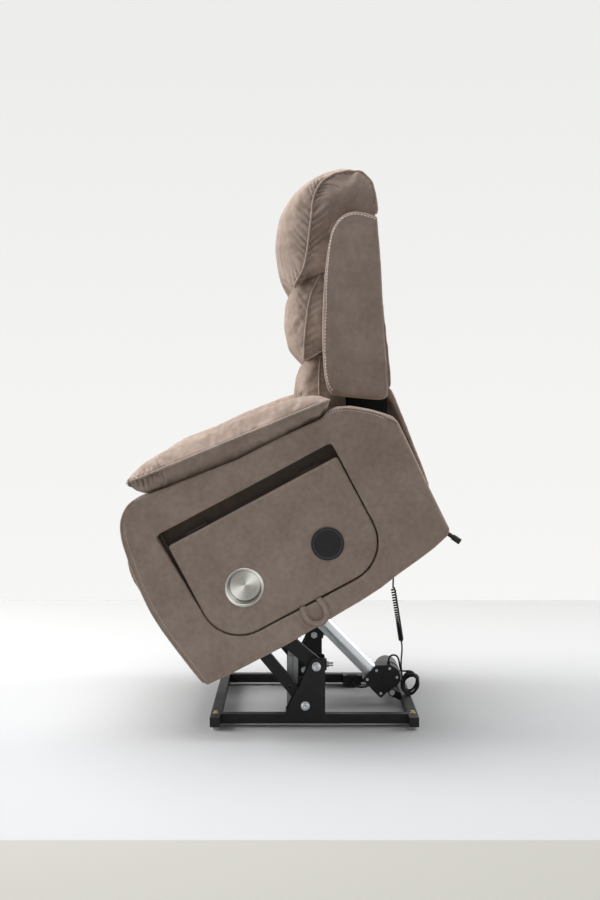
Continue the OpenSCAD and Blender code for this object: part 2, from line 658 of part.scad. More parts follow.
// A folded strap, sewn behind the panel and brought out under its lower edge.
loop_at = [panel_y + panel_len / 2 + 8, panel_z];
loop_x = face_x + 0.4;
strap_t = 2;
module pull_loop() color(fabric) chair_part() translate([0, loop_at.x, loop_at.y]) {
    slab(loop_x, loop_x + strap_t) difference() {
        polygon(outline([[-29, -0.3, 0], [-32, -34, 16], [-4, -55, 18], [28, -36, 16],
            [31, -0.3, 0]]));
        polygon(outline([[-15, 1, 0], [-17, -25, 8], [-3, -37, 8], [13, -26, 8], [17, 1, 0]]));
    }
    for (y = [-29, 17]) {
        translate([panel_x0 - strap_t, y, -2.3]) cube([loop_x + strap_t - panel_x0 + strap_t, 14, 2]);
        translate([panel_x0 - strap_t, y, -2.3]) cube([strap_t, 14, 34]);
    }
}

// ---- handset in the right arm's pocket ----
button_r = 9;
button_in = 4.2;
button_travel = 1.5;
handset_mid = handset_at.x + handset_w / 2;
up_at = [handset_mid, handset_at.y + 112];
down_at = [handset_mid, handset_at.y + 82];
handset_x1 = pocket_x + handset_t;
module handset() color(plastic) chair_part() mirror([1, 0, 0]) difference() {
    slab(pocket_x, handset_x1) polygon(outline([[handset_at.x + 5, handset_at.y, 8],
        [handset_at.x + handset_w - 5, handset_at.y, 8],
        [handset_at.x + handset_w, handset_at.y + handset_l, 20],
        [handset_at.x, handset_at.y + handset_l, 20]]));
    for (p = [up_at, down_at]) rod(p, button_r + fit, handset_x1 - button_in, handset_x1 + 1);
}
module button(p) color(zinc) chair_part() mirror([1, 0, 0])
    rod(p, button_r, handset_x1 - button_in + button_travel + 0.1, handset_x1 + 2);
module handset_up_button() button(up_at);
module handset_down_button() button(down_at);

// ---- back ----
wing_x = inner_x + wing_reach;
wing_x0 = wing_x - wing_w;
pillow_x = wing_x0 - 2 * clear;
post_x0 = tower_in + 5;
post_x1 = post_x0 + 25;
front_y = -115;
panel_y_back = -20;
pin_in_back = turn(recline_at - back_foot, back_lean);
module back_posts() color(wood) back_part() both() difference() {
    slab(post_x0, post_x1) polygon(outline([[front_y + clear, pin_in_back.y - 20, 12],
        [pin_in_back.x + 20, pin_in_back.y - 20, 12], [-74, 0, 0],
        [panel_y_back - clear, 60, 0], [panel_y_back - clear, back_len - 40, 0],
        [front_y + clear, back_len - 40, 0]]));
    rod(pin_in_back, recline_r + fit, post_x0 - 1, post_x1 + 1);
}
module back_rails() color(wood) back_part() {
    translate([-wing_x0 + clear, front_y + clear, back_len - 40])
        cube([2 * (wing_x0 - clear), 94, 40]);
    for (z = [back_len / 2 - 20, 10])
        translate([-post_x0, front_y + clear, z]) cube([2 * post_x0, 40, 40]);
}
module recline_pins() color(zinc) chair_part() both() {
    rod(recline_at, recline_r, post_x0 - 8, inner_x - 2);
    hex(recline_at, 13, post_x0 - 8, post_x0);
}
module head_pillow() color(lit_fabric) back_part() stuffed(-pillow_x, pillow_x,
    outline([[front_y, back_len - 156, 0], [front_y, back_len + 8, 0], [3, back_len + 25, 12],
        [-2, back_len + 105, 60], [-75, back_len + 137, 70], [-195, back_len + 113, 90],
        [-271, back_len - 22, 120], [-264, back_len - 146, 50], [-226, back_len - 175, 16]], 3),
    [-175, back_len + 25], [0.12, 0.14]);
module lumbar_pillow() color(lit_fabric) back_part() stuffed(-pillow_x, pillow_x,
    outline([[front_y, 112, 0], [front_y, back_len - 160, 0], [-222, back_len - 176, 22],
        [-258, back_len - 245, 60], [-250, 128, 26], [-216, 85, 8], [-165, 112, 0]], 3),
    [front_y, 195], [0.16, 0.06]);
module lower_pillow() color(lit_fabric) back_part() stuffed(-inner_x + 9, inner_x - 9,
    outline([[front_y, -72, 10], [front_y, 108, 0], [-163, 109, 0], [-220, 80, 20],
        [-243, 0, 80], [-238, -62, 22], [-150, -84, 40]], 3),
    [front_y, 10], [0.16, 0.06]);
module back_wings() color(fabric) back_part() both() stuffed(wing_x0, wing_x,
    outline([[-8, -22, 8], [0, back_len, 8], [-75, back_len + 8, 30],
        [-120, back_len - 30, 40], [-142, 300, 200], [-160, 110, 200], [-152, -4, 18],
        [-20, -26, 10]], 3),
    [-80, 215], [0.06, 0.02]);
module outer_back() color(fabric) back_part() {
    translate([-wing_x0 + clear, panel_y_back, 0])
        cube([2 * (wing_x0 - clear), -panel_y_back, back_len + 20]);
    rotate([back_lean, 0, 0]) slab(-inner_x + 25, inner_x - 25)
        polygon(outline([[-8, 12, 0], [10, 8, 0], [15, -7, 8], [9, -63, 60], [0, -147, 60],
            [-17, -280, 3], [-27, -280, 3], [-11, -147, 60], [-3, -63, 60]]));
}

// ---- cords ----
// The handset cord leaves the hanger straight down, curls, and ends at the hank.
cord_drop = [[120, 222, 469.6], [120, 222, 456], [117, 221.5, 441], [109, 220, 416],
    [99, 218.5, 380], [93, 218, 352]];
curl_top = [90, 218, 340];
curl_low = [60, 243, 186];
cord_tail = [[58, 245, 174], [56, 245, 156], [54, 243.5, 136], [53, 243, 118],
    [52, 244.5, 100], [52, 246, 88], [52, 246, 80]];
curl_dir = unit(curl_low - curl_top);
curl_u = unit(cross(curl_dir, [1, 0, 0]));
curl_w = cross(curl_dir, curl_u);
rings_per_curl = 8;
function curl_point(k) =
    let (n = curls * rings_per_curl, r = (curl_d - wire_d) / 2 * min(1, k / 6, (n - k) / 6),
         a = 360 * k / rings_per_curl)
    curl_top + k / n * (curl_low - curl_top) + r * (cos(a) * curl_u + sin(a) * curl_w);
handset_path = concat(cord_drop, [for (k = [0 : curls * rings_per_curl]) curl_point(k)], cord_tail);
module handset_cord() color(plastic) base_part() swept(handset_path, wire_d / 2, 6);

// A tied hank of upright loops that rests on the rear crossbar.
hank_loops = 5.75;
hank_half = [23.5, 29];
hank_mid = [269.5, foot_z + clear + hank_half.y + lead_d / 2];
hank_x0 = 52;
hank_pitch = 6.6;
rings_per_loop = 24;
function hank_point(k) = let (a = 180 + 360 * k / rings_per_loop)
    [hank_x0 - hank_pitch * k / rings_per_loop, hank_mid.x + hank_half.x * cos(a),
     hank_mid.y + hank_half.y * sin(a)];
hank_steps = hank_loops * rings_per_loop;
hank_last = hank_point(hank_steps);
hank_path = concat([[hank_x0, 246, 80], [hank_x0, 246, 73]],
    [for (k = [1 : hank_steps]) hank_point(k)],
    [[hank_last.x, hank_last.y - 6, hank_last.z], [hank_last.x, hank_last.y - 13, hank_last.z]]);
module cable_hank() color(plastic) base_part() swept(hank_path, lead_d / 2, 6);

motor_path = [[14, 211.5, 122.1], [14, 211.6, 127], [14, 214, 133], [14, 219, 137.5],
    [14, 226, 139], [14, 233, 136.5], [14, 238, 130], [14, 240.5, 121], [14, 242, 111],
    [14, 243.8, 102.5], [14, 246.6, 96.6], [14, 251, 94.25], [14, 256.1, 94.05]];
module motor_lead() color(plastic) base_part() swept(motor_path, 2.5, 8);
box_path = [[-194, 120, 20], [-186, 120, 20], [-174, 124, 15], [-165, 138, 10],
    [-161, 156, 12], [-160, 174, 22], [-157, 192, 42], [-151, 205, 62], [-140, 211, 76],
    [-128, 211.5, 79.7], [-118, 211.5, 79.7]];
module box_lead() color(plastic) base_part() swept(box_path, 2.5, 8);

echo("handset cord, least gap to itself", least_gap(handset_path, 6, wire_d));
echo("hank, least gap to itself", least_gap(hank_path, 12, lead_d));

front_crossbar();
rear_crossbar();
side_rails();
crossbar_caps();
floor_glides();
frame_bolts();
towers();
tower_channels();
tower_bolts();
pivot_bushes();
stop_bolts();
actuator_clevis();
clevis_pin();
control_box();
lower_links();
upper_links();
carriage_plates();
carriage_tubes();
carriage_studs();
actuator_bracket();
cord_hanger();
gearbox();
motor_can();
actuator_tube();
actuator_rod();
seat_side_rails();
seat_cross_rails();
seat_webbing();
seat_cushion();
arm_left();
arm_right();
arm_pad_left();
arm_pad_right();
rear_bumpers();
table_tray();
table_brackets();
table_panel();
table_hinges();
cup_holder();
charging_pad();
pull_loop();
handset();
handset_up_button();
handset_down_button();
back_posts();
back_rails();
recline_pins();
head_pillow();
lumbar_pillow();
lower_pillow();
back_wings();
outer_back();
foot_bars_rear();
foot_bars_front();
foot_board();
foot_pad();
handset_cord();
cable_hank();
motor_lead();
box_lead();
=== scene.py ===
import math

import bmesh
import bpy
from mathutils import Matrix, Vector, noise
from mathutils.bvhtree import BVHTree
from mathutils.kdtree import KDTree


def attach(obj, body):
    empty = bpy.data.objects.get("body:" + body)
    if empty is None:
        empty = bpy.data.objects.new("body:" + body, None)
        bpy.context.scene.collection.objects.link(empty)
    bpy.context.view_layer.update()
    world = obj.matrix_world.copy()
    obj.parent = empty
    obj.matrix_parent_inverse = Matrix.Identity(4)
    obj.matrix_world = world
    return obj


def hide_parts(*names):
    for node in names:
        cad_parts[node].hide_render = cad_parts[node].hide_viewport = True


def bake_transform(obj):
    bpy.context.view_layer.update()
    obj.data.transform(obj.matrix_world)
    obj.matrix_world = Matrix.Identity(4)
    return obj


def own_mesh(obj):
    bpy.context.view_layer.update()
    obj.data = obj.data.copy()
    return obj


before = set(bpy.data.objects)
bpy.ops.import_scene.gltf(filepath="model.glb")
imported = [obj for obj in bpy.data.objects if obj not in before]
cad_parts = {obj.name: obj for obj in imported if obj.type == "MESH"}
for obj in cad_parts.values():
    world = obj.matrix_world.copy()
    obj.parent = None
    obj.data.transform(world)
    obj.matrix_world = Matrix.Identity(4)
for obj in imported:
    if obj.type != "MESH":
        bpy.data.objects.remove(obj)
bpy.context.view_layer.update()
scene = bpy.context.scene

# ---- Camera, light and floor ----
# The chair is seen square from the sitter's left, from seat height, on a white studio
# floor under a broad soft box overhead, with two more at the front and rear, and pale walls.
PICTURE_HEIGHT, SENSOR = 900, 36
focal_pixels, shift_right, shift_up = 1300, 3, -48
camera_data = bpy.data.cameras.new("camera")
camera_data.sensor_width = SENSOR
camera_data.lens = SENSOR * focal_pixels / PICTURE_HEIGHT
camera_data.shift_x = shift_right / PICTURE_HEIGHT
camera_data.shift_y = shift_up / PICTURE_HEIGHT
camera_data.clip_end = 40
camera = bpy.data.objects.new("camera", camera_data)
camera.location = (3.65, 0.0172, 0.8465)
camera.rotation_euler = (math.pi / 2, 0, math.pi / 2)
scene.collection.objects.link(camera)
scene.camera = camera
scene.view_settings.view_transform = "Standard"


class Wire:
    """One value in a material. Python's operators on it add Math nodes."""

    def __init__(self, nodes, socket):
        self.nodes = nodes
        self.socket = socket

    def math(self, operation, *terms):
        sockets = dict(enumerate((self, *terms)))
        return self.nodes.add("ShaderNodeMath", {"operation": operation}, sockets)

    def reflected(self, operation, first):
        sockets = {0: first, 1: self}
        return self.nodes.add("ShaderNodeMath", {"operation": operation}, sockets)

    def __add__(self, other):
        return self.math("ADD", other)

    def __radd__(self, other):
        return self.reflected("ADD", other)

    def __sub__(self, other):
        return self.math("SUBTRACT", other)

    def __rsub__(self, other):
        return self.reflected("SUBTRACT", other)

    def __mul__(self, other):
        return self.math("MULTIPLY", other)

    def __rmul__(self, other):
        return self.reflected("MULTIPLY", other)

    def __pow__(self, other):
        return self.math("POWER", other)

    def __gt__(self, other):
        return self.math("GREATER_THAN", other)

    def __abs__(self):
        return self.math("ABSOLUTE")


class Nodes:
    """A node tree, with one way to add any node to it."""

    def __init__(self, tree):
        self.tree = tree

    def join(self, socket, value):
        if isinstance(value, Wire):
            self.tree.links.new(value.socket, socket)
        else:
            socket.default_value = value

    def add(self, kind, settings=None, sockets=None, output=0):
        node = self.tree.nodes.new(kind)
        for name, value in (settings or {}).items():
            setattr(node, name, value)
        for name, value in (sockets or {}).items():
            self.join(node.inputs[name], value)
        return Wire(self, node.outputs[output])

    def split(self, place):
        """The X, Y and Z of a place."""
        node = self.add("ShaderNodeSeparateXYZ", {}, {0: place}).socket.node
        return [Wire(self, socket) for socket in node.outputs]

    def blend(self, share, first, second):
        sockets = {0: share, 6: (*first, 1) if isinstance(first, tuple) else first,
                   7: (*second, 1) if isinstance(second, tuple) else second}
        return self.add("ShaderNodeMix", {"data_type": "RGBA"}, sockets, 2)


class Finish(Nodes):
    """A material, by way of the inputs of its one shader."""

    def __init__(self, name, **constants):
        self.material = bpy.data.materials.new(name)
        self.material.use_nodes = True
        super().__init__(self.material.node_tree)
        self.shader = self.tree.nodes["Principled BSDF"]
        for socket, value in constants.items():
            self.set(socket.replace("_", " "), value)
        self.spot = self.add("ShaderNodeTexCoord", output="Object")

    def set(self, socket, value):
        self.join(self.shader.inputs[socket], value)

    def grain(self, scale, detail=2.0, stretch=(1, 1, 1)):
        """Noise from 0 to 1, with this many patches to the metre."""
        spot = self.add("ShaderNodeMapping", {}, {"Vector": self.spot, "Scale": stretch})
        sockets = {"Vector": spot, "Scale": scale, "Detail": detail}
        return self.add("ShaderNodeTexNoise", {}, sockets)

    def relief(self, height, depth, under=None):
        sockets = {"Height": height, "Distance": depth, "Strength": 1.0}
        if under:
            sockets["Normal"] = under
        bump = self.add("ShaderNodeBump", {}, sockets)
        self.set("Normal", bump)
        return bump


floor_mesh = bpy.data.meshes.new("studio_floor")
floor_shape = bmesh.new()
bmesh.ops.create_grid(floor_shape, size=1, matrix=Matrix.LocRotScale(
    (0.1, 0, 0), None, (2.0, 5.0, 1.0)))
floor_shape.to_mesh(floor_mesh)
floor_shape.free()
floor = bpy.data.objects.new("studio_floor", floor_mesh)
scene.collection.objects.link(floor)
floor_paint = Finish("studio_floor", Roughness=0.9, Specular_IOR_Level=0.15)
along = floor_paint.split(floor_paint.spot)[0]
apron_from = 1.138
apron = floor_paint.blend(along > apron_from, (0.533, 0.54, 0.547), (0.445, 0.435, 0.40))
nearer = floor_paint.add("ShaderNodeMapRange", {"interpolation_type": "SMOOTHSTEP"}, {
    0: along, 1: -1.9, 2: 1.1})
floor_paint.set("Base Color", floor_paint.blend(nearer, (0.53, 0.528, 0.521), apron))
floor.data.materials.append(floor_paint.material)

world = bpy.data.worlds.new("studio")
world.use_nodes = True
scene.world = world
sky = Nodes(world.node_tree)
ambient = sky.tree.nodes["Background"]
sky.join(ambient.inputs["Color"], (0.95, 0.97, 1.0, 1))
sky.join(ambient.inputs["Strength"], 0.33)
toward = sky.add("ShaderNodeTexCoord", output="Generated")
height = sky.split(toward)[2]
wall = sky.add("ShaderNodeBackground", {}, {"Color": sky.blend(
    (height + 0.15) * 2.3, (0.93, 0.93, 0.915), (0.845, 0.845, 0.83))})
rays = sky.add("ShaderNodeLightPath").socket.node.outputs
seen = Wire(sky, rays["Is Camera Ray"])
for kind in ("Is Glossy Ray", "Is Transmission Ray"):
    seen = seen.math("MAXIMUM", Wire(sky, rays[kind]))
chosen = sky.add("ShaderNodeMixShader", {}, {0: seen, 1: Wire(sky, ambient.outputs[0]), 2: wall})
sky.join(sky.tree.nodes["World Output"].inputs[0], chosen)


def soft_box(name, size, at, aim, power):
    light = bpy.data.lights.new(name, "AREA")
    light.shape = "RECTANGLE"
    light.size, light.size_y = size
    light.energy = power
    lamp = bpy.data.objects.new(name, light)
    lamp.location = at
    lamp.rotation_mode = "QUATERNION"
    lamp.rotation_quaternion = (Vector(aim) - Vector(at)).to_track_quat("-Z", "Y")
    scene.collection.objects.link(lamp)


soft_box("overhead", size=(4.0, 4.0), at=(-0.35, -0.6, 4.2), aim=(0, 0, 0.6), power=215)
soft_box("front_window", size=(2.4, 2.6), at=(-0.6, -4.2, 2.4), aim=(0, 0, 0.9), power=190)
soft_box("rear_fill", size=(2.4, 2.6), at=(-1.2, 4.2, 2.2), aim=(0, 0, 0.9), power=118)

# ---- Cords ----
# The handset's curly cord drops from its hanger to a tied hank of its own lead that
# rests on the rear crossbar. The motor's lead enters the hank's other end, and a short
# lead joins the control box to the motor. All are black PVC.
SET_BACK = 0.0622

black_pvc = Finish("black_cable", Base_Color=(0.008, 0.008, 0.009, 1), Specular_IOR_Level=0.22)
black_pvc.set("Roughness", 0.34 + 0.2 * black_pvc.grain(160))
black_pvc.relief(black_pvc.grain(900), 0.0001)


def at_base(points):
    """Points in mm in the base's own frame, put in the shared frame in metres."""
    return [Vector((x, y, z)) / 1000 + Vector((0, SET_BACK, 0)) for x, y, z in points]


def rounded_path(points, step):
    """Catmull-Rom through the points, then even steps along it."""
    padded = [2 * points[0] - points[1], *points, 2 * points[-1] - points[-2]]
    fine = [points[0]]
    for a, b, c, d in zip(padded, padded[1:], padded[2:], padded[3:]):
        for i in range(1, 13):
            t = i / 12
            fine.append(0.5 * (2 * b + (c - a) * t + (2 * a - 5 * b + 4 * c - d) * t ** 2
                               + (3 * b - a - 3 * c + d) * t ** 3))
    return even_path(fine, step)


def even_path(fine, step):
    """The same path in even steps, as near this long as go into it."""
    total = path_length(fine)
    count = max(2, round(total / step))
    path, walked, wanted = [fine[0]], 0.0, total / count
    for a, b in zip(fine, fine[1:]):
        length = (b - a).length
        while length > 0 and walked + length >= wanted - 1e-9 and len(path) < count:
            path.append(a.lerp(b, (wanted - walked) / length))
            wanted += total / count
        walked += length
    return [*path, fine[-1]]


def path_length(path):
    return sum((b - a).length for a, b in zip(path, path[1:]))


def new_piece(name, shape, *materials):
    """Makes a piece of a bmesh that lies in place."""
    mesh = bpy.data.meshes.new(name)
    shape.to_mesh(mesh)
    shape.free()
    piece = bpy.data.objects.new(name, mesh)
    scene.collection.objects.link(piece)
    for material in materials:
        mesh.materials.append(material)
    return piece


def next_ring(shape, face, first):
    """Extrudes the end face of a tube once more. The first one stays, as the other end."""
    made = bmesh.ops.extrude_face_region(shape, geom=[face])["geom"]
    if not first:
        bmesh.ops.delete(shape, geom=[face], context="FACES_ONLY")
    return next(f for f in made if isinstance(f, bmesh.types.BMFace))


def tube(name, path, radius, sides, material):
    """A round tube: one circle extruded from point to point of a path."""
    shape = bmesh.new()
    directions = [(b - a).normalized() for a, b in
                  zip([path[0], *path[:-1]], [*path[1:], path[-1]])]
    turn = directions[0].to_track_quat("Z", "Y")
    ring = bmesh.ops.create_circle(shape, cap_ends=True, radius=radius, segments=sides,
                                   matrix=Matrix.LocRotScale(path[0], turn, None))["verts"]
    face = ring[0].link_faces[0]
    for i in range(1, len(path)):
        step = directions[i - 1].rotation_difference(directions[i])
        face = next_ring(shape, face, i == 1)
        bmesh.ops.rotate(shape, verts=face.verts, cent=path[i - 1], matrix=step.to_matrix())
        bmesh.ops.translate(shape, verts=face.verts, vec=path[i] - path[i - 1])
    bmesh.ops.recalc_face_normals(shape, faces=shape.faces)
    for f in shape.faces:
        f.smooth = True
    return new_piece(name, shape, material)


def fitted(piece, body, node=None):
    """Puts a piece on a body, unless it blends two, and in place of a node, if it has one."""
    if body:
        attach(piece, body)
    if node:
        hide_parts(node)


def cable(name, path, thickness, sides, body, node):
    piece = tube(name, path, thickness / 2, sides, black_pvc.material)
    fitted(piece, body, node)
    path_length(path)
    return piece


curl_top, curl_low = at_base([(90, 218, 340), (60, 243, 186)])
curl_run = curl_low - curl_top
curl_side = curl_run.cross(Vector((1, 0, 0))).normalized()
curl_other = curl_run.normalized().cross(curl_side)
curls, rings_per_curl, opening_rings = 25, 16, 12
curl_width, curl_wire, curl_sag = 0.015, 0.0045, 0.07


def curl_point(k):
    """A helix that opens out from its own axis at each end, its curls closer lower down."""
    n = curls * rings_per_curl
    radius = (curl_width - curl_wire) / 2 * min(1, k / opening_rings, (n - k) / opening_rings)
    turn = 2 * math.pi * k / rings_per_curl
    fallen = k / n + curl_sag * math.sin(math.pi * k / n)
    return curl_top + fallen * curl_run + radius * (
        math.cos(turn) * curl_side + math.sin(turn) * curl_other)


cord_drop = rounded_path(at_base([(120, 222, 469.6), (120, 222, 456), (117, 221.5, 441),
                                  (109, 220, 416), (99, 218.5, 380), (93, 218, 352)]), 0.005)
cord_tail = rounded_path(at_base([(58, 245, 174), (56, 245, 156), (54, 243.5, 136),
                                  (53, 243, 118), (52, 244.5, 100), (52, 246, 88),
                                  (52, 246, 80)]), 0.005)
handset_path = [*cord_drop, *(curl_point(k) for k in range(curls * rings_per_curl + 1)),
                *cord_tail]
handset_cord = cable("curly_handset_cord", handset_path, thickness=curl_wire, sides=8,
                     body="base", node="handset_cord")

hank_middle = Vector((0, 0.2695 + SET_BACK, 0.06505))
steps_per_turn, hank_steps, loosening_steps = 24, 138, 16
hank_width, hank_height, hank_pitch = 0.047, 0.058, 0.0066


def hank_point(k):
    """A turn of the hank. Between its two ends each is squeezed and leans its own way."""
    turn = math.pi + 2 * math.pi * k / steps_per_turn
    loose = min(1.0, k / loosening_steps, (hank_steps - k) / loosening_steps)
    wide = 1 - loose * 0.16 * (1 + math.sin(0.09 * k + 2))
    tall = 1 - loose * 0.14 * (1 + math.sin(0.08 * k + 4))
    lean = loose * (0.3 * math.sin(0.11 * k + 5) - 0.2)
    across = wide * math.cos(turn) - lean * tall * math.sin(turn)
    up = tall * math.sin(turn) - 0.1 * loose * (1 - tall)
    return Vector((0.052 - hank_pitch * k / steps_per_turn,
                   hank_middle.y + hank_width / 2 * across, hank_middle.z + hank_height / 2 * up))


hank_path = [*at_base([(52, 246, 80), (52, 246, 73)]),
             *(hank_point(k) for k in range(1, hank_steps + 1))]
hank_path += [hank_path[-1] + Vector((0, -0.006, 0)), hank_path[-1] + Vector((0, -0.013, 0))]
cable("tied_hank", hank_path, thickness=0.0055, sides=10, body="base", node="cable_hank")

motor_path = rounded_path(at_base([
    (14, 211.5, 122.1), (14, 211.6, 127), (14, 214, 133), (14, 219, 137.5), (14, 226, 139),
    (14, 233, 136.5), (14, 238, 130), (14, 240.5, 121), (14, 242, 111), (14, 243.8, 102.5),
    (14, 246.6, 96.6), (14, 251, 94.25), (14, 256.1, 94.05)]), 0.002)
motor_lead = cable("motor_lead", motor_path, thickness=0.005, sides=10, body=None,
                   node="motor_lead")

box_path = rounded_path(at_base([
    (-194, 120, 20), (-186, 120, 20), (-174, 124, 15), (-165, 138, 10), (-161, 156, 12),
    (-160, 174, 22), (-157, 192, 42), (-151, 205, 62), (-140, 211, 76), (-128, 211.5, 79.7),
    (-118, 211.5, 79.7)]), 0.003)
box_lead = cable("box_lead", box_path, thickness=0.005, sides=10, body=None,
                 node="box_lead")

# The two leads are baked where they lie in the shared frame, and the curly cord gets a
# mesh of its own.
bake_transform(motor_lead)
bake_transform(box_lead)
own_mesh(handset_cord)

# A nylon tie holds the hank's turns together.
tie_shape = bmesh.new()
for x, y in ((10, 242.6), (56, 242.6), (57, 243.4), (57, 248.6), (56, 249.4), (10, 249.4),
             (9, 248.6), (9, 243.4)):
    tie_shape.verts.new(at_base([(x, y, 63)])[0])
tie_shape.faces.new(tie_shape.verts)
raised = bmesh.ops.extrude_face_region(tie_shape, geom=tie_shape.faces[:])["geom"]
bmesh.ops.translate(tie_shape, vec=(0, 0, 0.0045),
                    verts=[v for v in raised if isinstance(v, bmesh.types.BMVert)])
bmesh.ops.delete(tie_shape, geom=[f for f in tie_shape.faces if abs(f.normal.z) > 0.5],
                 context="FACES_ONLY")
bmesh.ops.recalc_face_normals(tie_shape, faces=tie_shape.faces)
bmesh.ops.solidify(tie_shape, geom=tie_shape.faces[:], thickness=0.0011)
fitted(new_piece("hank_tie", tie_shape, black_pvc.material), "base")


# ---- Steel, plated and moulded hardware ----
# The base, towers, links and footrest bars are black powder-coated steel. Bolts, studs
# and pins are zinc plated, the actuator has an anodised tube, and its gearbox, the
# control box, caps and bumpers are moulded in black plastic.
def finish_nodes(finish, *names):
    for name in names:
        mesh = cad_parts[name].data
        mesh.materials.clear()
        mesh.materials.append(finish.material)


powder = Finish("black_powder_coat", Specular_IOR_Level=0.3)
worn = powder.grain(22, 6)
powder.set("Base Color", powder.blend((worn - 0.45) * 3, (0.008, 0.008, 0.0085),
                                      (0.018, 0.018, 0.019)))
powder.set("Roughness", 0.36 + 0.22 * powder.grain(14, 4))
powder.relief(powder.grain(1100, 2), 0.00012)
finish_nodes(powder, "front_crossbar", "rear_crossbar", "side_rails", "towers",
             "lower_links", "upper_links", "carriage_plates", "carriage_tubes",
             "actuator_bracket", "actuator_clevis", "foot_bars_rear", "foot_bars_front")

can = Finish("motor_can_black", Metallic=0.3)
can.set("Base Color", can.blend(can.grain(30, 4), (0.02, 0.02, 0.021), (0.035, 0.035, 0.037)))
can.set("Roughness", 0.3 + 0.15 * can.grain(60))
can.relief(can.grain(700), 0.00008)
finish_nodes(can, "motor_can")

pressed = Finish("grey_pressed_steel", Metallic=0.55)
pressed.set("Base Color", pressed.blend(pressed.grain(18, 5), (0.28, 0.29, 0.3),
                                        (0.42, 0.43, 0.44)))
pressed.set("Roughness", 0.4 + 0.2 * pressed.grain(40, 3))
pressed.relief(pressed.grain(500), 0.0001)
finish_nodes(pressed, "tower_channels")


def plated(name, dull, bright):
    plate = Finish(name, Metallic=1.0)
    plate.set("Base Color", plate.blend(plate.grain(60, 4), dull, bright))
    plate.set("Roughness", 0.2 + 0.26 * plate.grain(120, 3))
    plate.relief(plate.grain(1500), 0.00005)
    return plate


bright_zinc = plated("bright_zinc_plate", (0.5, 0.52, 0.56), (0.78, 0.8, 0.84))
finish_nodes(bright_zinc, "tower_bolts", "pivot_bushes", "carriage_studs", "clevis_pin",
             "actuator_rod", "recline_pins", "stop_bolts")
yellow_zinc = plated("yellow_zinc_plate", (0.45, 0.36, 0.16), (0.68, 0.6, 0.36))
finish_nodes(yellow_zinc, "frame_bolts")

anodised = Finish("anodised_aluminium", Metallic=0.85)
drawn = anodised.grain(420, 2, (1, 0.03, 0.03))
anodised.set("Base Color", anodised.blend(drawn, (0.66, 0.69, 0.72), (0.8, 0.83, 0.86)))
anodised.set("Roughness", 0.3 + 0.12 * drawn)
anodised.relief(drawn, 0.00004)
finish_nodes(anodised, "actuator_tube")


def moulded(name, dark, light, gloss):
    plastic = Finish(name, Specular_IOR_Level=0.3)
    plastic.set("Base Color", plastic.blend(plastic.grain(26, 4), dark, light))
    plastic.set("Roughness", gloss + 0.2 * plastic.grain(90, 3))
    plastic.relief(plastic.grain(1300), 0.00012)
    return plastic


black_plastic = moulded("black_plastic", (0.010, 0.010, 0.011), (0.02, 0.02, 0.021), gloss=0.32)
finish_nodes(black_plastic, "crossbar_caps", "control_box", "cord_hanger", "gearbox",
             "rear_bumpers", "handset")
key_plastic = moulded("key_plastic", (0.03, 0.03, 0.032), (0.05, 0.05, 0.053), gloss=0.4)
finish_nodes(key_plastic, "handset_up_button", "handset_down_button")
milky_plastic = moulded("milky_plastic", (0.6, 0.62, 0.64), (0.72, 0.74, 0.75), gloss=0.3)
finish_nodes(milky_plastic, "floor_glides")
# The tray lining is dark brown. The brackets and hinges take the same dark colour as painted
# shade, so they stay dark in the gap above the table.
tray_lining_and_hinge_shade = moulded("dark_tray_lining_and_hinge_shade", (0.075, 0.056, 0.045), (0.125, 0.096, 0.079), gloss=0.75)
finish_nodes(tray_lining_and_hinge_shade, "table_tray", "table_brackets", "table_hinges")

timber = Finish("sawn_timber", Roughness=0.7)
rings = timber.add("ShaderNodeTexWave", {"wave_type": "BANDS", "bands_direction": "Z"},
                   {"Vector": timber.spot, "Scale": 30, "Distortion": 7, "Detail": 3})
timber.set("Base Color", timber.blend(rings, (0.42, 0.27, 0.13), (0.58, 0.41, 0.23)))
timber.relief(rings, 0.0003)
finish_nodes(timber, "back_posts", "back_rails")

webbing = Finish("woven_webbing", Roughness=0.85)
weave = webbing.add("ShaderNodeTexChecker", {}, {"Vector": webbing.spot, "Scale": 500})
webbing.set("Base Color", webbing.blend(weave, (0.03, 0.03, 0.033), (0.075, 0.075, 0.08)))
webbing.relief(webbing.grain(800), 0.0003)
finish_nodes(webbing, "seat_webbing")


def spun(name, centres, profile, material, steps=24):
    """Round heads about axes across the chair, from their radii and heights in mm."""
    shape = bmesh.new()
    for centre in centres:
        side = 1 if centre.x > 0 else -1
        verts = [shape.verts.new(centre + Vector((side * x, 0, r)) / 1000) for r, x in profile]
        edges = [shape.edges.new(pair) for pair in zip(verts, verts[1:])]
        bmesh.ops.spin(shape, geom=[*verts, *edges], cent=centre, axis=(1, 0, 0),
                       angle=2 * math.pi, steps=steps, use_merge=True)
    bmesh.ops.remove_doubles(shape, verts=shape.verts, dist=1e-6)
    bmesh.ops.recalc_face_normals(shape, faces=shape.faces)
    for f in shape.faces:
        f.smooth = True
    return new_piece(name, shape, material)


def end_middles(node, level=None):
    """The middle of each flat end at one distance out on a node, or at the furthest."""
    same_level, widest_end = 5e-5, 0.025
    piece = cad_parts[node]
    spots = [piece.matrix_world @ v.co for v in piece.data.vertices]
    level = level or max(abs(spot.x) for spot in spots)
    ends = [spot for spot in spots if abs(abs(spot.x) - level) < same_level]
    middles = []
    while ends:
        near = [spot for spot in ends if (spot - ends[0]).length < widest_end]
        middles.append(sum(near, Vector()) / len(near))
        ends = [spot for spot in ends if (spot - near[0]).length >= widest_end]
    return middles


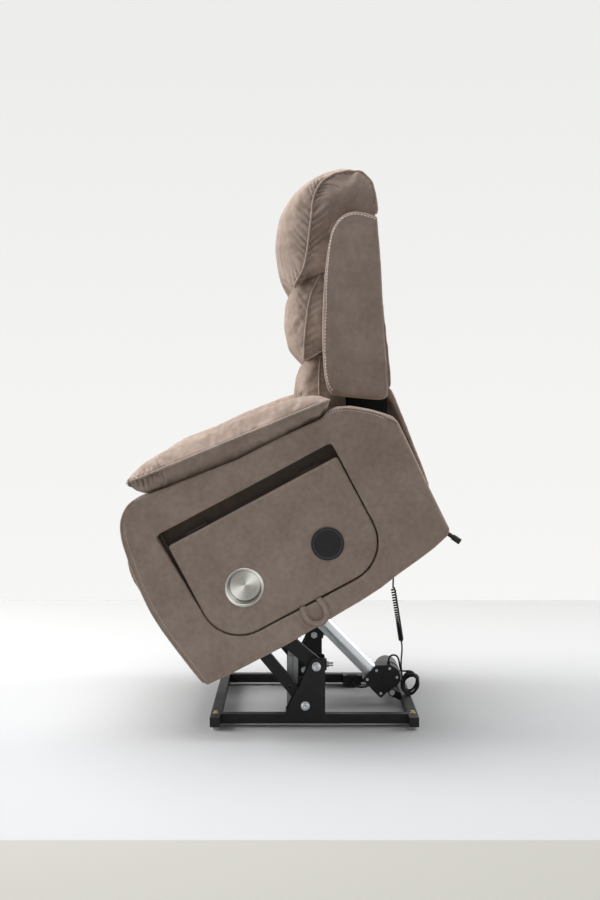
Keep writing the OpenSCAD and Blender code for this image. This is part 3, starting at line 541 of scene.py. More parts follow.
# Turned caps with a socket stand on the tower's bolt heads, and the gearbox's cover is
# held by five small plated screws.
cap_profile = [(0, 0.5), (3.9, 0.5), (4.2, 2.2), (6.0, 3.0), (8.0, 2.3), (9.2, 0.8), (9.4, 0),
               (0, 0)]
fitted(spun("tower_bolt_caps", end_middles("tower_bolts"), cap_profile, bright_zinc.material),
       "base")
screw_profile = [(0, 0.2), (1.5, 0.2), (1.6, 1.0), (3.2, 1.3), (3.9, 0.7), (4.0, 0), (0, 0)]
screw_bosses = end_middles("gearbox", level=0.0295)
fitted(spun("gearbox_screws", screw_bosses, screw_profile, bright_zinc.material),
       "actuator")

# ---- Upholstery fabric and how it is sewn ----
# Every cover is the same brushed taupe microfibre over fibre or foam: a nap that shows
# lighter and darker where it was stroked, welted seams whose cord is painted lighter as a
# highlight, and a pale topstitch.
RISEN_TILT, BACK_LEAN = math.radians(28), math.radians(24.4)
chair_place = (Matrix.Translation((0, SET_BACK - 0.27264, 0.14796))
               @ Matrix.Rotation(RISEN_TILT, 4, "X"))
back_place = (chair_place @ Matrix.Translation((0, 0.748, 0.428))
              @ Matrix.Rotation(-BACK_LEAN, 4, "X"))
SIDES = ((1, "left"), (-1, "right"))


def microfibre(name, dark, light):
    cloth = Finish(name, Sheen_Weight=0.2, Sheen_Roughness=0.4,
                   Sheen_Tint=(1.0, 0.9, 0.8, 1), Specular_IOR_Level=0.15)
    stroked = cloth.grain(13, 5)
    mottled = cloth.grain(70, 6)
    fleck = cloth.grain(620, 4)
    share = 0.5 + 1.5 * (stroked - 0.5) + 1.3 * (mottled - 0.5) + 1.1 * (fleck - 0.5)
    cloth.set("Base Color", cloth.blend(share, dark, light))
    cloth.set("Roughness", 0.86 + 0.14 * mottled)
    cloth.relief(fleck, 0.0006, cloth.relief(mottled, 0.001))
    return cloth.material


fabric = microfibre("taupe_microfibre", (0.272, 0.206, 0.168), (0.395, 0.31, 0.26))
# The welts' cloth is a lighter copy of the same microfibre: a painted highlight along the cord.
welt_fabric_with_painted_highlight = microfibre("welt_microfibre_painted_highlight", (0.33, 0.258, 0.214), (0.47, 0.38, 0.325))
thread = Finish("topstitch_thread", Roughness=0.6)
thread.set("Base Color", thread.blend(thread.grain(400), (0.7, 0.63, 0.57), (0.84, 0.78, 0.72)))


def finished_mesh(piece):
    """Gives a piece the mesh that its modifiers make, and takes them off."""
    depsgraph = bpy.context.evaluated_depsgraph_get()
    mesh = bpy.data.meshes.new_from_object(piece.evaluated_get(depsgraph))
    piece.modifiers.clear()
    piece.data = mesh


def sewn_shape(name, place, x0, x1, pairs, swell, room=0.0, material=None):
    """A cover from its side outline, over the full outline, to the side outline again.

    Each pair is a point's place on the side outline and on the full one, in mm. The
    cover reaches the full outline this far in from each side, and where the two differ
    it leaves room for its filling.
    """
    shape = bmesh.new()
    order = shape.verts.layers.int.new("order")
    middle, half = (x0 + x1) / 2, (x1 - x0) / 2
    rows = [share * swell for share in (0, 0.03, 0.1, 0.22, 0.42, 0.7, 1)]
    across = [-half + d for d in rows] + [0] + [half - d for d in reversed(rows)]

    def ring(x):
        share = max(0.0, 1 - (half - abs(x)) / swell)
        full = math.sqrt(1 - share * share)
        spots = []
        for side, crown in pairs:
            side, crown = Vector(side), Vector(crown)
            reach = (crown - side).length
            kept = max(0.0, reach - room) / reach if reach > room > 0 else 1.0
            y, z = side.lerp(crown, full * kept)
            spots.append(Vector((middle + x, y, z)) / 1000)
        return spots

    for i, spot in enumerate(ring(across[0])):
        shape.verts.new(spot)[order] = i
    face = shape.faces.new(shape.verts)
    for x in across[1:]:
        face = next_ring(shape, face, x == across[1])
        spots = ring(x)
        for v in face.verts:
            v.co = spots[v[order]]
    bmesh.ops.recalc_face_normals(shape, faces=shape.faces)
    bmesh.ops.transform(shape, matrix=place, verts=shape.verts)
    return new_piece(name, shape, material or fabric)


def plain(line):
    """The pairs of a cover whose one outline runs all the way across."""
    return [(spot, spot) for spot in line]


def remeshed(piece, voxel, passes):
    """Evens out a piece's mesh and softens its corners."""
    remesh = piece.modifiers.new("even", "REMESH")
    remesh.mode = "VOXEL"
    remesh.voxel_size = voxel
    finished_mesh(piece)
    soften(piece, passes)


def soften(piece, passes):
    shape = bmesh.new()
    shape.from_mesh(piece.data)
    for _ in range(passes):
        bmesh.ops.smooth_vert(shape, verts=shape.verts, factor=0.5, use_axis_x=True,
                              use_axis_y=True, use_axis_z=True)
    for f in shape.faces:
        f.smooth = True
    shape.to_mesh(piece.data)
    shape.free()


def tree_of(points):
    tree = KDTree(len(points))
    for i, spot in enumerate(points):
        tree.insert(spot, i)
    tree.balance()
    return tree


def inflate(piece, seams, pressure, cap):
    """Fills a cover by cloth simulation, no point by more than the cap.

    It stays sewn down along its seams.
    """
    seam_reach, slack, frames = 0.0045, 0.03, 20
    rest = [v.co.copy() for v in piece.data.vertices]
    sewn = tree_of([spot for seam in seams for spot in seam])
    group = piece.vertex_groups.new(name="sewn")
    group.add([i for i, spot in enumerate(rest) if sewn.find(spot)[2] < seam_reach],
              1.0, "REPLACE")
    cloth = piece.modifiers.new("cloth", "CLOTH")
    cloth.settings.quality = 5
    cloth.settings.mass = 0.25
    cloth.settings.tension_stiffness = 12
    cloth.settings.compression_stiffness = 8
    cloth.settings.bending_stiffness = 0.35
    cloth.settings.use_pressure = True
    cloth.settings.uniform_pressure_force = pressure
    cloth.settings.shrink_min = -slack
    cloth.settings.vertex_group_mass = "sewn"
    cloth.settings.effector_weights.gravity = 0
    cloth.collision_settings.use_collision = False
    cloth.point_cache.frame_start, cloth.point_cache.frame_end = 1, frames
    for frame_now in range(1, frames + 1):
        scene.frame_set(frame_now)
    finished_mesh(piece)
    scene.frame_set(1)
    for v, was in zip(piece.data.vertices, rest):
        moved = v.co - was
        if moved.length > cap:
            v.co = was + moved * (cap / moved.length)
    soften(piece, 1)
    fine = piece.modifiers.new("fine", "SUBSURF")
    fine.levels = fine.render_levels = 1
    finished_mesh(piece)


def pushed(piece, height):
    """Moves each point of a cover out along its normal by the height at that point."""
    spots = []
    for v, normal in zip(piece.data.vertices, piece.data.vertex_normals):
        spots.extend(v.co + height(v.co) * normal.vector)
    piece.data.vertices.foreach_set("co", spots)
    piece.data.update()


def gathers(piece, seam, reach, depth, pitch, seed, slant=0.0, only=None):
    """Folds that run off a seam where the cloth is gathered into it.

    The slant leans them along the seam. A function of the share of the seam's length can
    say how full they are there.
    """
    step = 0.003
    path = even_path(seam, step)
    tree = tree_of(path)
    length = path_length(path)

    def fold(spot):
        _, i, away = tree.find(spot)
        if away >= reach:
            return 0.0
        along = i * step + slant * away
        place = Vector((along / pitch / 2.5, seed, away * 9))
        wave = abs(math.sin(math.pi * (along / pitch + 1.3 * noise.noise(place)))) - 0.62
        run = reach * min(1.0, 0.62 + 0.75 * noise.noise(place + Vector((0, 40, 0))))
        here = 1.0 if only is None else only(i * step / length)
        fade = min(1, away / 0.005) * max(0.0, 1 - away / run) ** 1.2
        return depth * wave * here * fade

    pushed(piece, fold)


def rumple(piece, depth, size, seed):
    """Slow hollows and swellings of a stuffed cover."""
    shift = Vector((seed, 0, 0))
    pushed(piece, lambda spot: depth * noise.noise(spot / size + shift))


def on_cover(piece, points, lift):
    """A line laid on a cover through points near it, this far proud of it."""
    surface = BVHTree.FromObject(piece, bpy.context.evaluated_depsgraph_get())
    path = []
    for spot in rounded_path(points, 0.004):
        place, normal, _, _ = surface.find_nearest(spot)
        path.append(place + normal * lift)
    for _ in range(2):
        path = [path[0], *((a + 2 * b + c) / 4 for a, b, c in
                           zip(path, path[1:], path[2:])), path[-1]]
    return path


def welt(name, path, body, radius):
    """A covered cord sewn into a seam."""
    fitted(tube(name, path, radius, 8, welt_fabric_with_painted_highlight), body)


def topstitch(name, path, body, pitch, width):
    """A row of thread stitches that stand just proud of the cloth."""
    shape = bmesh.new()
    spots = even_path(path, pitch)
    for a, b in zip(spots, spots[1:]):
        turn = (b - a).to_track_quat("Z", "Y")
        size = Vector((width, width, 0.36 * (b - a).length))
        bmesh.ops.create_icosphere(shape, subdivisions=1, radius=1,
                                   matrix=Matrix.LocRotScale((a + b) / 2, turn, size))
    for f in shape.faces:
        f.smooth = True
    fitted(new_piece(name, shape, thread.material), body)


def placed(place, x, points):
    """Points of a side view, in mm, at one distance across the chair."""
    return [place @ (Vector((x, y, z)) / 1000) for y, z in points]


def side_seams(place, x, points):
    """A seam down each side of a cushion, the left one first."""
    return [rounded_path(placed(place, side * x, points), 0.004) for side, _ in SIDES]


def mirrored(piece, name):
    """The same piece for the other side of the chair."""
    shape = bmesh.new()
    shape.from_mesh(piece.data)
    bmesh.ops.scale(shape, vec=(-1, 1, 1), verts=shape.verts)
    bmesh.ops.reverse_faces(shape, faces=shape.faces)
    return new_piece(name, shape, *piece.data.materials)


def upholstered(piece, body, node):
    fitted(piece, body, node)


# ---- Head pillow ----
# The top roll of the pillow back: a front panel gathered into welted side panels, fullest
# where the head rests, wrapped over the back's top rail and tucked in behind the wings.
head_pairs = [((115, 322), (115, 304)), ((150, 321), (150, 302)), ((178, 319), (186, 300)),
              ((219, 269), (208, 297)), ((227, 275), (229, 302)), ((214, 297), (247, 317)),
              ((198, 322), (257, 335)), ((189, 345), (263, 364)), ((181, 380), (265, 399)),
              ((174, 418), (258, 440)), ((165, 466), (248, 480)), ((155, 514), (216, 530)),
              ((132, 549), (166, 566)), ((99, 568), (110, 586)), ((62, 573), (69, 590)),
              ((27, 565), (30, 576)), ((3, 531), (5, 536)), ((-3, 480), (-3, 480)),
              ((-3, 452), (-3, 462)), ((20, 434), (50, 468)), ((70, 420), (80, 468)),
              ((115, 395), (115, 460))]


def leaned(pairs):
    """Pairs that were measured forward of the back's frame, whose Y runs to the rear."""
    return [((-a, b), (-c, d)) for (a, b), (c, d) in pairs]


head_half = 287.5
head_seam = [(-n, t) for (n, t), _ in head_pairs[4:19]]
head_pillow = sewn_shape("head_pillow_cover", back_place, -head_half, head_half,
                         leaned(head_pairs), swell=110, room=11)
remeshed(head_pillow, voxel=0.006, passes=2)
head_seams = side_seams(back_place, head_half, head_seam)
inflate(head_pillow, head_seams, pressure=3.5, cap=0.013)
for (side, word), seam in zip(SIDES, head_seams):
    gathers(head_pillow, seam, reach=0.08, depth=0.0075, pitch=0.021, seed=3 + side, slant=-0.8,
            only=lambda s: 1.0 if s < 0.5 else max(0.2, 1 - 4 * (s - 0.5)))
    welt(f"head_welt_{word}", on_cover(head_pillow, seam, 0.0012), "back", radius=0.0032)
    crown_line = placed(back_place, side * 228, [(-226, 290), (-248, 340), (-253, 400),
                                                 (-236, 470), (-206, 516)])
    topstitch(f"head_stitch_{word}", on_cover(head_pillow, crown_line, 0.0002), "back",
              pitch=0.0055, width=0.001)
upholstered(head_pillow, "back", "head_pillow")

# A tuck of the same fabric at each side covers the ends of the timber top rail.
tuck_line = [(14, 428), (64, 416), (121, 396), (126, 420), (110, 452), (60, 462), (16, 462)]
tuck_left = sewn_shape("head_tuck_left", back_place, 268, 287.3,
                       leaned(plain(tuck_line)), swell=2)
remeshed(tuck_left, voxel=0.004, passes=1)
for tuck in (tuck_left, mirrored(tuck_left, "head_tuck_right")):
    fitted(tuck, "back")

# ---- Lumbar pillow ----
# The middle roll, with the same front panel and welted sides.
lumbar_pairs = [((115, 112), (115, 112)), ((160, 112), (165, 112)), ((211, 84), (213, 86)),
                ((207, 108), (226, 98)), ((204, 140), (247, 136)), ((197, 184), (254, 188)),
                ((189, 226), (248, 241)), ((176, 268), (233, 284)), ((150, 312), (176, 309)),
                ((115, 318), (115, 306))]
lumbar_half = 277
lumbar_seam = [(-n, t) for (n, t), _ in lumbar_pairs[1:9]]
lumbar_pillow = sewn_shape("lumbar_pillow_cover", back_place, -lumbar_half, lumbar_half,
                           leaned(lumbar_pairs), swell=110, room=8)
remeshed(lumbar_pillow, voxel=0.006, passes=2)
lumbar_seams = side_seams(back_place, lumbar_half, lumbar_seam)
inflate(lumbar_pillow, lumbar_seams, pressure=3.0, cap=0.010)
for (side, word), seam in zip(SIDES, lumbar_seams):
    gathers(lumbar_pillow, seam, reach=0.06, depth=0.004, pitch=0.024, seed=11 + side, slant=-0.5)
    welt(f"lumbar_welt_{word}", on_cover(lumbar_pillow, seam, 0.0012), "back", radius=0.003)
upholstered(lumbar_pillow, "back", "lumbar_pillow")

# ---- Lower back pillow ----
# The bottom roll, pinched between the arms, with long folds that rise from the seat.
lower_pairs = [((115, -76), (115, -80)), ((115, 108), (115, 108)), ((148, 109), (163, 109)),
               ((163, 101), (214, 84)), ((170, 60), (231, 47)), ((174, 0), (240, -5)),
               ((171, -50), (236, -62)), ((160, -80), (206, -95)), ((138, -88), (150, -98))]
lower_half = 262
lower_seam = [(-n, t) for (n, t), _ in lower_pairs[2:]]
lower_pillow = sewn_shape("lower_pillow_cover", back_place, -lower_half, lower_half,
                          leaned(lower_pairs), swell=100, room=8)
remeshed(lower_pillow, voxel=0.006, passes=2)
lower_seams = side_seams(back_place, lower_half, lower_seam)
inflate(lower_pillow, lower_seams, pressure=3.0, cap=0.010)
for (side, word), seam in zip(SIDES, lower_seams):
    foot_fold = rounded_path([*placed(back_place, side * 225, [(-208, -30), (-226, 0)]),
                              *placed(back_place, side * 100, [(-238, -20)])], 0.003)
    gathers(lower_pillow, foot_fold, reach=0.09, depth=0.007, pitch=0.016, seed=21 + side,
            slant=0.2)
    gathers(lower_pillow, seam, reach=0.05, depth=0.004, pitch=0.018, seed=25 + side, slant=-0.3)
    welt(f"lower_welt_{word}", on_cover(lower_pillow, seam, 0.0012), "back", radius=0.0028)
upholstered(lower_pillow, "back", "lower_pillow")

# ---- Back lining ----
# Black dust cloth closes the back's frame below the pillows, between the posts. Its near
# black stands in for the shade in the gap there, as painted shade. The same cloth wraps the
# seat's rails and the footrest's board.
cambric_and_shade = Finish("black_dust_cloth_and_shade", Roughness=0.95)
cambric_and_shade.set("Base Color", cambric_and_shade.blend(cambric_and_shade.grain(300, 4), (0.006, 0.006, 0.006),
                                        (0.016, 0.016, 0.016)))
cambric_and_shade.relief(cambric_and_shade.grain(900, 3), 0.0003)
finish_nodes(cambric_and_shade, "foot_board", "seat_side_rails", "seat_cross_rails")
lining_line = [(-3, -66), (60, -72), (112, -74), (112, 60), (60, 70), (-3, 70)]
back_shade_lining = sewn_shape("back_shade_lining", back_place, -233, 233,
                         leaned(plain(lining_line)), swell=4, material=cambric_and_shade.material)
remeshed(back_shade_lining, voxel=0.006, passes=1)
fitted(back_shade_lining, "back")

# A slack flap of the cover's fabric joins the seat's rear edge to the lower pillow.
flap_line = [(559, 352), (568, 366), (577, 378), (586, 395), (599, 414), (603, 411),
             (590, 392), (581, 375), (572, 363), (563, 350)]
seat_flap = sewn_shape("seat_back_flap", chair_place, -258, 258, plain(flap_line), swell=4)
remeshed(seat_flap, voxel=0.003, passes=1)
fitted(seat_flap, None)
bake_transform(seat_flap)

# ---- Back wings ----
# A flat padded wing each side of the back, boxed all round and topstitched along its
# front and top edges.
wing_line = [(0, 444), (28, 455), (55, 461), (79, 457), (99, 443), (117, 416), (129, 371),
             (141, 305), (148, 255), (152, 216), (156, 165), (158, 113), (158, 75), (157, 48),
             (152, 15), (142, -1), (128, -6), (109, -9), (71, -15), (40, -20), (22, -22),
             (8, -20), (1, -12), (-1, 60), (-1, 200), (-1, 320)]
wing_core = Vector((75, 215))


def drawn_in(points, core, amount, grown=0.0):
    """Each point beside one that lies this far towards the core from it."""
    pairs = []
    for a, b in points:
        inward = (core - Vector((a, b))).normalized()
        pairs.append(((a + inward.x * amount, b + inward.y * amount),
                      (a - inward.x * grown, b - inward.y * grown)))
    return pairs


wing_left = sewn_shape("back_wing_left", back_place, 285.5, 335,
                       leaned(drawn_in(wing_line, wing_core, amount=6, grown=1)), swell=9)
remeshed(wing_left, voxel=0.0045, passes=2)
rumple(wing_left, depth=0.0018, size=0.16, seed=5)
wing_right = mirrored(wing_left, "back_wing_right")
stitch_line = [(-a, b) for (a, b), _ in drawn_in(wing_line[:16], wing_core, amount=8)]
for wing, (side, word) in zip((wing_left, wing_right), SIDES):
    upholstered(wing, "back", "back_wings")
    edge = placed(back_place, side * 335, stitch_line)
    topstitch(f"wing_stitch_{word}", on_cover(wing, edge, 0.0005), "back", pitch=0.0085,
              width=0.0014)
    outline = placed(back_place, side * 331, [(-a, b) for a, b in wing_line])
    welt(f"wing_seam_{word}", on_cover(wing, [*outline, outline[0]], -0.0003), "back",
         radius=0.0012)

# ---- Outer back ----
# A padded panel closes the back behind, and its loose skirt hangs down over the gap to
# the seat frame.
panel_pairs = drawn_in([(-20, 4), (-20, 120), (-20, 240), (-20, 360), (-20, 466), (-14, 471),
                        (-5, 470), (0, 462), (1, 360), (3, 270), (7, 190), (11, 110), (14, 40),
                        (12, 8), (4, 1), (-15, 0)], Vector((-10, 235)), amount=3)
outer_panel = sewn_shape("outer_back_panel", back_place, -284, 284, panel_pairs, swell=10)
remeshed(outer_panel, voxel=0.006, passes=2)
rumple(outer_panel, depth=0.0015, size=0.2, seed=8)
upholstered(outer_panel, "back", "outer_back")
skirt_place = back_place @ Matrix.Rotation(BACK_LEAN, 4, "X")
skirt_line = [(-8, 12), (2, 11), (10, 7), (15, -7), (13, -35), (9, -63), (5, -105), (0, -147),
              (-8, -215), (-17, -276), (-20, -280), (-24, -280), (-27, -276), (-19, -215),
              (-11, -147), (-7, -105), (-3, -63), (-1, -35), (-4, -10)]
outer_skirt = sewn_shape("outer_back_skirt", skirt_place, -250, 250, plain(skirt_line), swell=8)
remeshed(outer_skirt, voxel=0.005, passes=2)
rumple(outer_skirt, depth=0.003, size=0.12, seed=9)
upholstered(outer_skirt, "back", "outer_back")
hem_middle = placed(skirt_place, 0, [(-17, -266)])[0]
hem = [hem_middle + Vector((x, 0, 0)) for x in (-0.245, -0.12, 0, 0.12, 0.245)]
topstitch("skirt_hem", on_cover(outer_skirt, hem, 0.0003), "back", pitch=0.0075, width=0.0009)
for side, word in SIDES:
    side_line = placed(back_place, side * 283, [(12, 8), (9, 150), (2, 300), (1, 360),
                                                (-2, 462)])
    welt(f"outer_back_seam_{word}", on_cover(outer_panel, side_line, 0.0), "back", radius=0.0016)

# ---- Arms ----
# Each arm is a padded box: flat side panels, a wrapped front with a seam down each edge,
# and a welted top edge. The left one is recessed for the flip-up table.
arm_line = [(4, -6), (60, -8), (125, -9), (214, -10), (353, -4), (440, 0), (497, 5),
            (547, 14), (619, 23), (656, 29), (702, 41), (715, 53), (718, 150), (722, 260),
            (725, 346), (720, 365), (706, 381), (678, 408), (640, 438), (612, 451), (580, 454),
            (566, 445), (450, 450), (338, 451), (240, 463), (140, 474), (75, 484), (55, 485),
            (36, 481), (18, 470), (5, 457), (-5, 441), (-17, 410), (-26, 355), (-33, 290),
            (-36, 226), (-32, 170), (-23, 105), (-13, 45), (-6, 12), (-2, 2)]
arm_pairs = drawn_in(arm_line, Vector((345, 235)), amount=5, grown=1.5)
arm_inner, arm_outer, beside_arm = 275.5, 430, 431


def recess_line(y0, y1, z0, z1, low, high):
    """A rounded outline, with one radius for its lower corners and one for its upper."""
    line = []
    for cy, cz, r, first in ((y1 - low, z0 + low, low, -90), (y1 - high, z1 - high, high, 0),
                             (y0 + high, z1 - high, high, 90), (y0 + low, z0 + low, low, 180)):
        steps = 9 if r > 40 else 3
        line += [(cy + r * math.cos(math.radians(first + 90 * i / steps)),
                  cz + r * math.sin(math.radians(first + 90 * i / steps)))
                 for i in range(steps + 1)]
    return line


def cut_out(piece, x0, x1, line):
    """Takes a straight shape out of a piece, across the chair."""
    block = sewn_shape("cutter", chair_place, x0, x1, plain(line), swell=1)
    cut = piece.modifiers.new("cut", "BOOLEAN")
    cut.object = block
    cut.solver = "EXACT"
    finished_mesh(piece)
    bpy.data.objects.remove(block)


# Inside its lower edge each arm is cut away over the front crossbar, to clear it when the
# chair is down. The right arm also has a slot for the handset.
over_crossbar = [(60, -30), (240, -30), (240, -3), (60, -3)]
arm_right = sewn_shape("arm_right_cover", chair_place, -arm_outer, -arm_inner, arm_pairs, swell=8)
cut_out(arm_right, -312, -270, over_crossbar)
cut_out(arm_right, -440, -402, recess_line(158, 222, 256, 419, low=6, high=4))
remeshed(arm_right, voxel=0.005, passes=1)
rumple(arm_right, depth=0.002, size=0.19, seed=14)
upholstered(arm_right, "chair", "arm_right")

arm_left = sewn_shape("arm_left_cover", chair_place, arm_inner, arm_outer, arm_pairs, swell=8)
# The table's recess reaches 12 mm further forward at its upper corner, and a deeper pocket
# in it takes the cup holder.
table_recess = [(u - 12 if u < 90 and v > 360 else u, v) for u, v in
                recess_line(75, 556, 52.5, 381, low=103, high=8)]
cut_out(arm_left, 270, 312, over_crossbar)
cut_out(arm_left, 385, 440, table_recess)
cut_out(arm_left, 350, 390, recess_line(140, 256, 107, 223, low=4, high=4))
remeshed(arm_left, voxel=0.005, passes=1)
rumple(arm_left, depth=0.002, size=0.19, seed=12)
upholstered(arm_left, "chair", "arm_left")

front_edge = [(-4, 4), (-13, 50), (-23, 108), (-31, 170), (-34, 226), (-31, 290), (-24, 352),
              (-15, 406), (-3, 440), (7, 455), (20, 468), (37, 479), (56, 483)]
rear_edge = [(703, 377), (677, 403), (639, 432), (611, 446), (586, 450)]
side_folds = (((96, 81), (56, 4)), ((545, 84), (571, 26)))
for piece, (side, word) in zip((arm_left, arm_right), SIDES):
    for x in (427, 279):
        line = placed(chair_place, side * x, front_edge)
        welt(f"arm_front_welt_{word}_{x}", on_cover(piece, line, 0.0008), "chair", radius=0.0022)
    inset = placed(chair_place, side * beside_arm, [(a + 11, b) for a, b in front_edge[:-3]])
    topstitch(f"arm_front_stitch_{word}", on_cover(piece, inset, 0.0003), "chair", pitch=0.006,
              width=0.0007)
    back_line = placed(chair_place, side * beside_arm, [(a - 2, b - 3) for a, b in rear_edge])
    topstitch(f"arm_rear_stitch_{word}", on_cover(piece, back_line, 0.0004), "chair", pitch=0.0075,
              width=0.0011)
    rim = placed(chair_place, side * 428, [(724, 348), *rear_edge])
    welt(f"arm_rear_welt_{word}", on_cover(piece, rim, 0.0006), "chair", radius=0.0018)
    seam = placed(chair_place, side * beside_arm, [(583, 451), (571, 409), (558, 384)])
    welt(f"arm_top_seam_{word}", on_cover(piece, seam, -0.0002), "chair", radius=0.001)
    for i, (high, low) in enumerate(side_folds):
        middle = ((high[0] + low[0]) / 2, (high[1] + low[1]) / 2)
        fold = rounded_path(placed(chair_place, side * beside_arm, [high, middle, low]), 0.004)
        gathers(piece, fold, reach=0.02, depth=0.0014, pitch=0.03, seed=71 + i)
        welt(f"arm_side_seam_{word}_{i}", on_cover(piece, fold, -0.0003), "chair", radius=0.0008)

# ---- Arm pads ----
# A loose-looking fibre pillow on each arm, welted all round at half height and gathered
# at its front tip.
def pad_welt_at(u):
    """How high the welt runs at a distance back along the pad."""
    return 530 - (u - 63) * 53 / 539


pad_top = [(68, 537), (77, 543), (99, 552), (130, 556), (175, 557), (274, 546), (383, 539),
           (491, 527), (540, 518), (563, 511), (580, 501), (593, 488)]
pad_under = [(597, 470), (590, 461), (575, 450), (561, 443), (450, 450), (338, 452),
             (230, 463), (140, 475), (95, 483), (80, 486), (73, 492), (68, 507)]
pad_pairs = [((62, 531), (62, 531))]
pad_pairs += [((u, pad_welt_at(u) + 3), (u, v)) for u, v in pad_top]
pad_pairs += [((602, 477), (602, 477))]
pad_pairs += [((u, 0.45 * pad_welt_at(u) + 0.55 * v), (u, v)) for u, v in pad_under]
arm_pad_left = sewn_shape("arm_pad_left_cover", chair_place, 276, 434, pad_pairs, swell=46, room=9)
remeshed(arm_pad_left, voxel=0.0045, passes=2)


def pad_edge(x, stations):
    return placed(chair_place, x, [(u, pad_welt_at(u)) for u in stations])


pad_welt = [*pad_edge(434, (90, 200, 300, 400, 500, 585)), *pad_edge(428, (600,)),
            *pad_edge(400, (603,)), *pad_edge(310, (603,)), *pad_edge(282, (600,)),
            *pad_edge(276, (585, 500, 400, 300, 200, 90)), *pad_edge(284, (66,)),
            *pad_edge(310, (61,)), *pad_edge(400, (61,)), *pad_edge(426, (66,))]
pad_welt.append(pad_welt[0])
inflate(arm_pad_left, [even_path(pad_welt, 0.004)], pressure=3.0, cap=0.0095)
near_tip = rounded_path([*pad_edge(280, (190, 120, 70)), *pad_edge(310, (61,)),
                         *pad_edge(400, (61,)), *pad_edge(430, (70,)),
                         *pad_edge(434, (120, 190))], 0.003)
gathers(arm_pad_left, near_tip, reach=0.05, depth=0.014, pitch=0.0115, seed=31, slant=0,
        only=lambda s: min(1.0, 6 * s, 6 * (1 - s)))
outer_side = rounded_path(pad_edge(434, (150, 300, 450, 600)), 0.003)
gathers(arm_pad_left, outer_side, reach=0.026, depth=0.0016, pitch=0.026, seed=33)
rumple(arm_pad_left, depth=0.0016, size=0.12, seed=6)
arm_pad_right = mirrored(arm_pad_left, "arm_pad_right_cover")

# The right pad is stuffed fuller. Its crown is 16 mm higher, from 20 mm above the welt up
# and from 60 mm behind the tip back.
fuller = chair_place.to_3x3() @ Vector((0, 0, 0.016))
for v in arm_pad_right.data.vertices:
    _, u, up = chair_place.inverted() @ v.co
    over = (up * 1000 - pad_welt_at(u * 1000)) / 20
    v.co += fuller * max(0.0, min(1.0, over)) * max(0.0, min(1.0, (u - 0.06) / 0.06))
for piece, (side, word) in zip((arm_pad_left, arm_pad_right), SIDES):
    upholstered(piece, "chair", f"arm_pad_{word}")
    line = [Vector((side * p.x, p.y, p.z)) for p in pad_welt]
    welt(f"arm_pad_welt_{word}", on_cover(piece, line, 0.0014), "chair", radius=0.0032)

# ---- Seat cushion ----
# A deep fibre-topped cushion between the arms, with a waterfall front and a welt along
# its front edge.
seat_pairs = drawn_in([(-4, 334), (12, 328), (150, 328), (300, 328), (450, 328), (548, 330),
                       (556, 345), (558, 385), (545, 404), (480, 418), (400, 428), (300, 438),
                       (200, 445), (110, 448), (40, 448), (10, 440), (-8, 415), (-13, 385),
                       (-10, 350)], Vector((280, 385)), amount=14)
seat_cushion = sewn_shape("seat_cushion_cover", chair_place, -264, 264, seat_pairs, swell=40,
                          room=4)
remeshed(seat_cushion, voxel=0.007, passes=2)
seat_edge = [(-6, 345), (-2, 430), (200, 436), (400, 420), (540, 398)]
seat_seams = side_seams(chair_place, 262, seat_edge)
inflate(seat_cushion, seat_seams, pressure=2.5, cap=0.012)
for (side, _), seam in zip(SIDES, seat_seams):
    gathers(seat_cushion, seam, reach=0.07, depth=0.004, pitch=0.022, seed=41 + side)
front_seam = [chair_place @ Vector((x, -0.004, 0.436)) for x in (-0.25, -0.12, 0, 0.12, 0.25)]
gathers(seat_cushion, rounded_path(front_seam, 0.003), reach=0.06, depth=0.0035, pitch=0.024,
        seed=45)
rumple(seat_cushion, depth=0.003, size=0.14, seed=7)
welt("seat_front_welt", on_cover(seat_cushion, front_seam, 0.0012), "chair", radius=0.003)
upholstered(seat_cushion, "chair", "seat_cushion")

# ---- Footrest pad ----
# Foam and fabric over the footrest board, with two sewn channels across it.
board_middle = Vector((0, -0.012, 0.215))
foot_place = (chair_place @ Matrix.Translation(board_middle)
              @ Matrix.Rotation(math.radians(4.5), 4, "X")
              @ Matrix.Translation(-board_middle))
foot_pairs = drawn_in([(-35.3, 70), (-35.3, 160), (-35.3, 260), (-35.3, 358), (-42, 361),
                       (-50, 357), (-58, 332), (-63, 300), (-64.5, 265), (-62, 220),
                       (-56, 160), (-49, 105), (-45, 76), (-41, 68)], Vector((-36, 220)), amount=5)
foot_pad = sewn_shape("foot_pad_cover", foot_place, -260, 260, foot_pairs, swell=30, room=3)
remeshed(foot_pad, voxel=0.006, passes=2)
foot_edge = [(-40, 75), (-40, 220), (-40, 355)]
foot_lines = [rounded_path([foot_place @ Vector((x, -0.064, z)) for x in
                            (-0.24, -0.12, 0, 0.12, 0.24)], 0.004) for z in (0.165, 0.265)]
foot_seams = side_seams(foot_place, 259, foot_edge)
inflate(foot_pad, [*foot_seams, *foot_lines], pressure=3.0, cap=0.006)
for i, line in enumerate(foot_lines):
    gathers(foot_pad, line, reach=0.03, depth=0.002, pitch=0.022, seed=51 + i)
    welt(f"foot_channel_{i}", on_cover(foot_pad, line, -0.0004), "footrest", radius=0.0013)
upholstered(foot_pad, "footrest", "foot_pad")

# ---- Flip-up side table ----
# A padded board hinged along its top edge, topstitched along that edge. It carries a cup
# holder and a charging pad, each let into a hole.
panel_line = recess_line(78, 553, 56, 344, low=100, high=6)
panel_face, hole_gap = 427.7, 0.4
cup_spot, cup_radius = (198, 165), 42
charger_spot, charger_radius = (431, 164), 37


def circle(spot, radius):
    return [(spot[0] + radius * math.cos(a), spot[1] + radius * math.sin(a))
            for a in (2 * math.pi * i / 64 for i in range(64))]


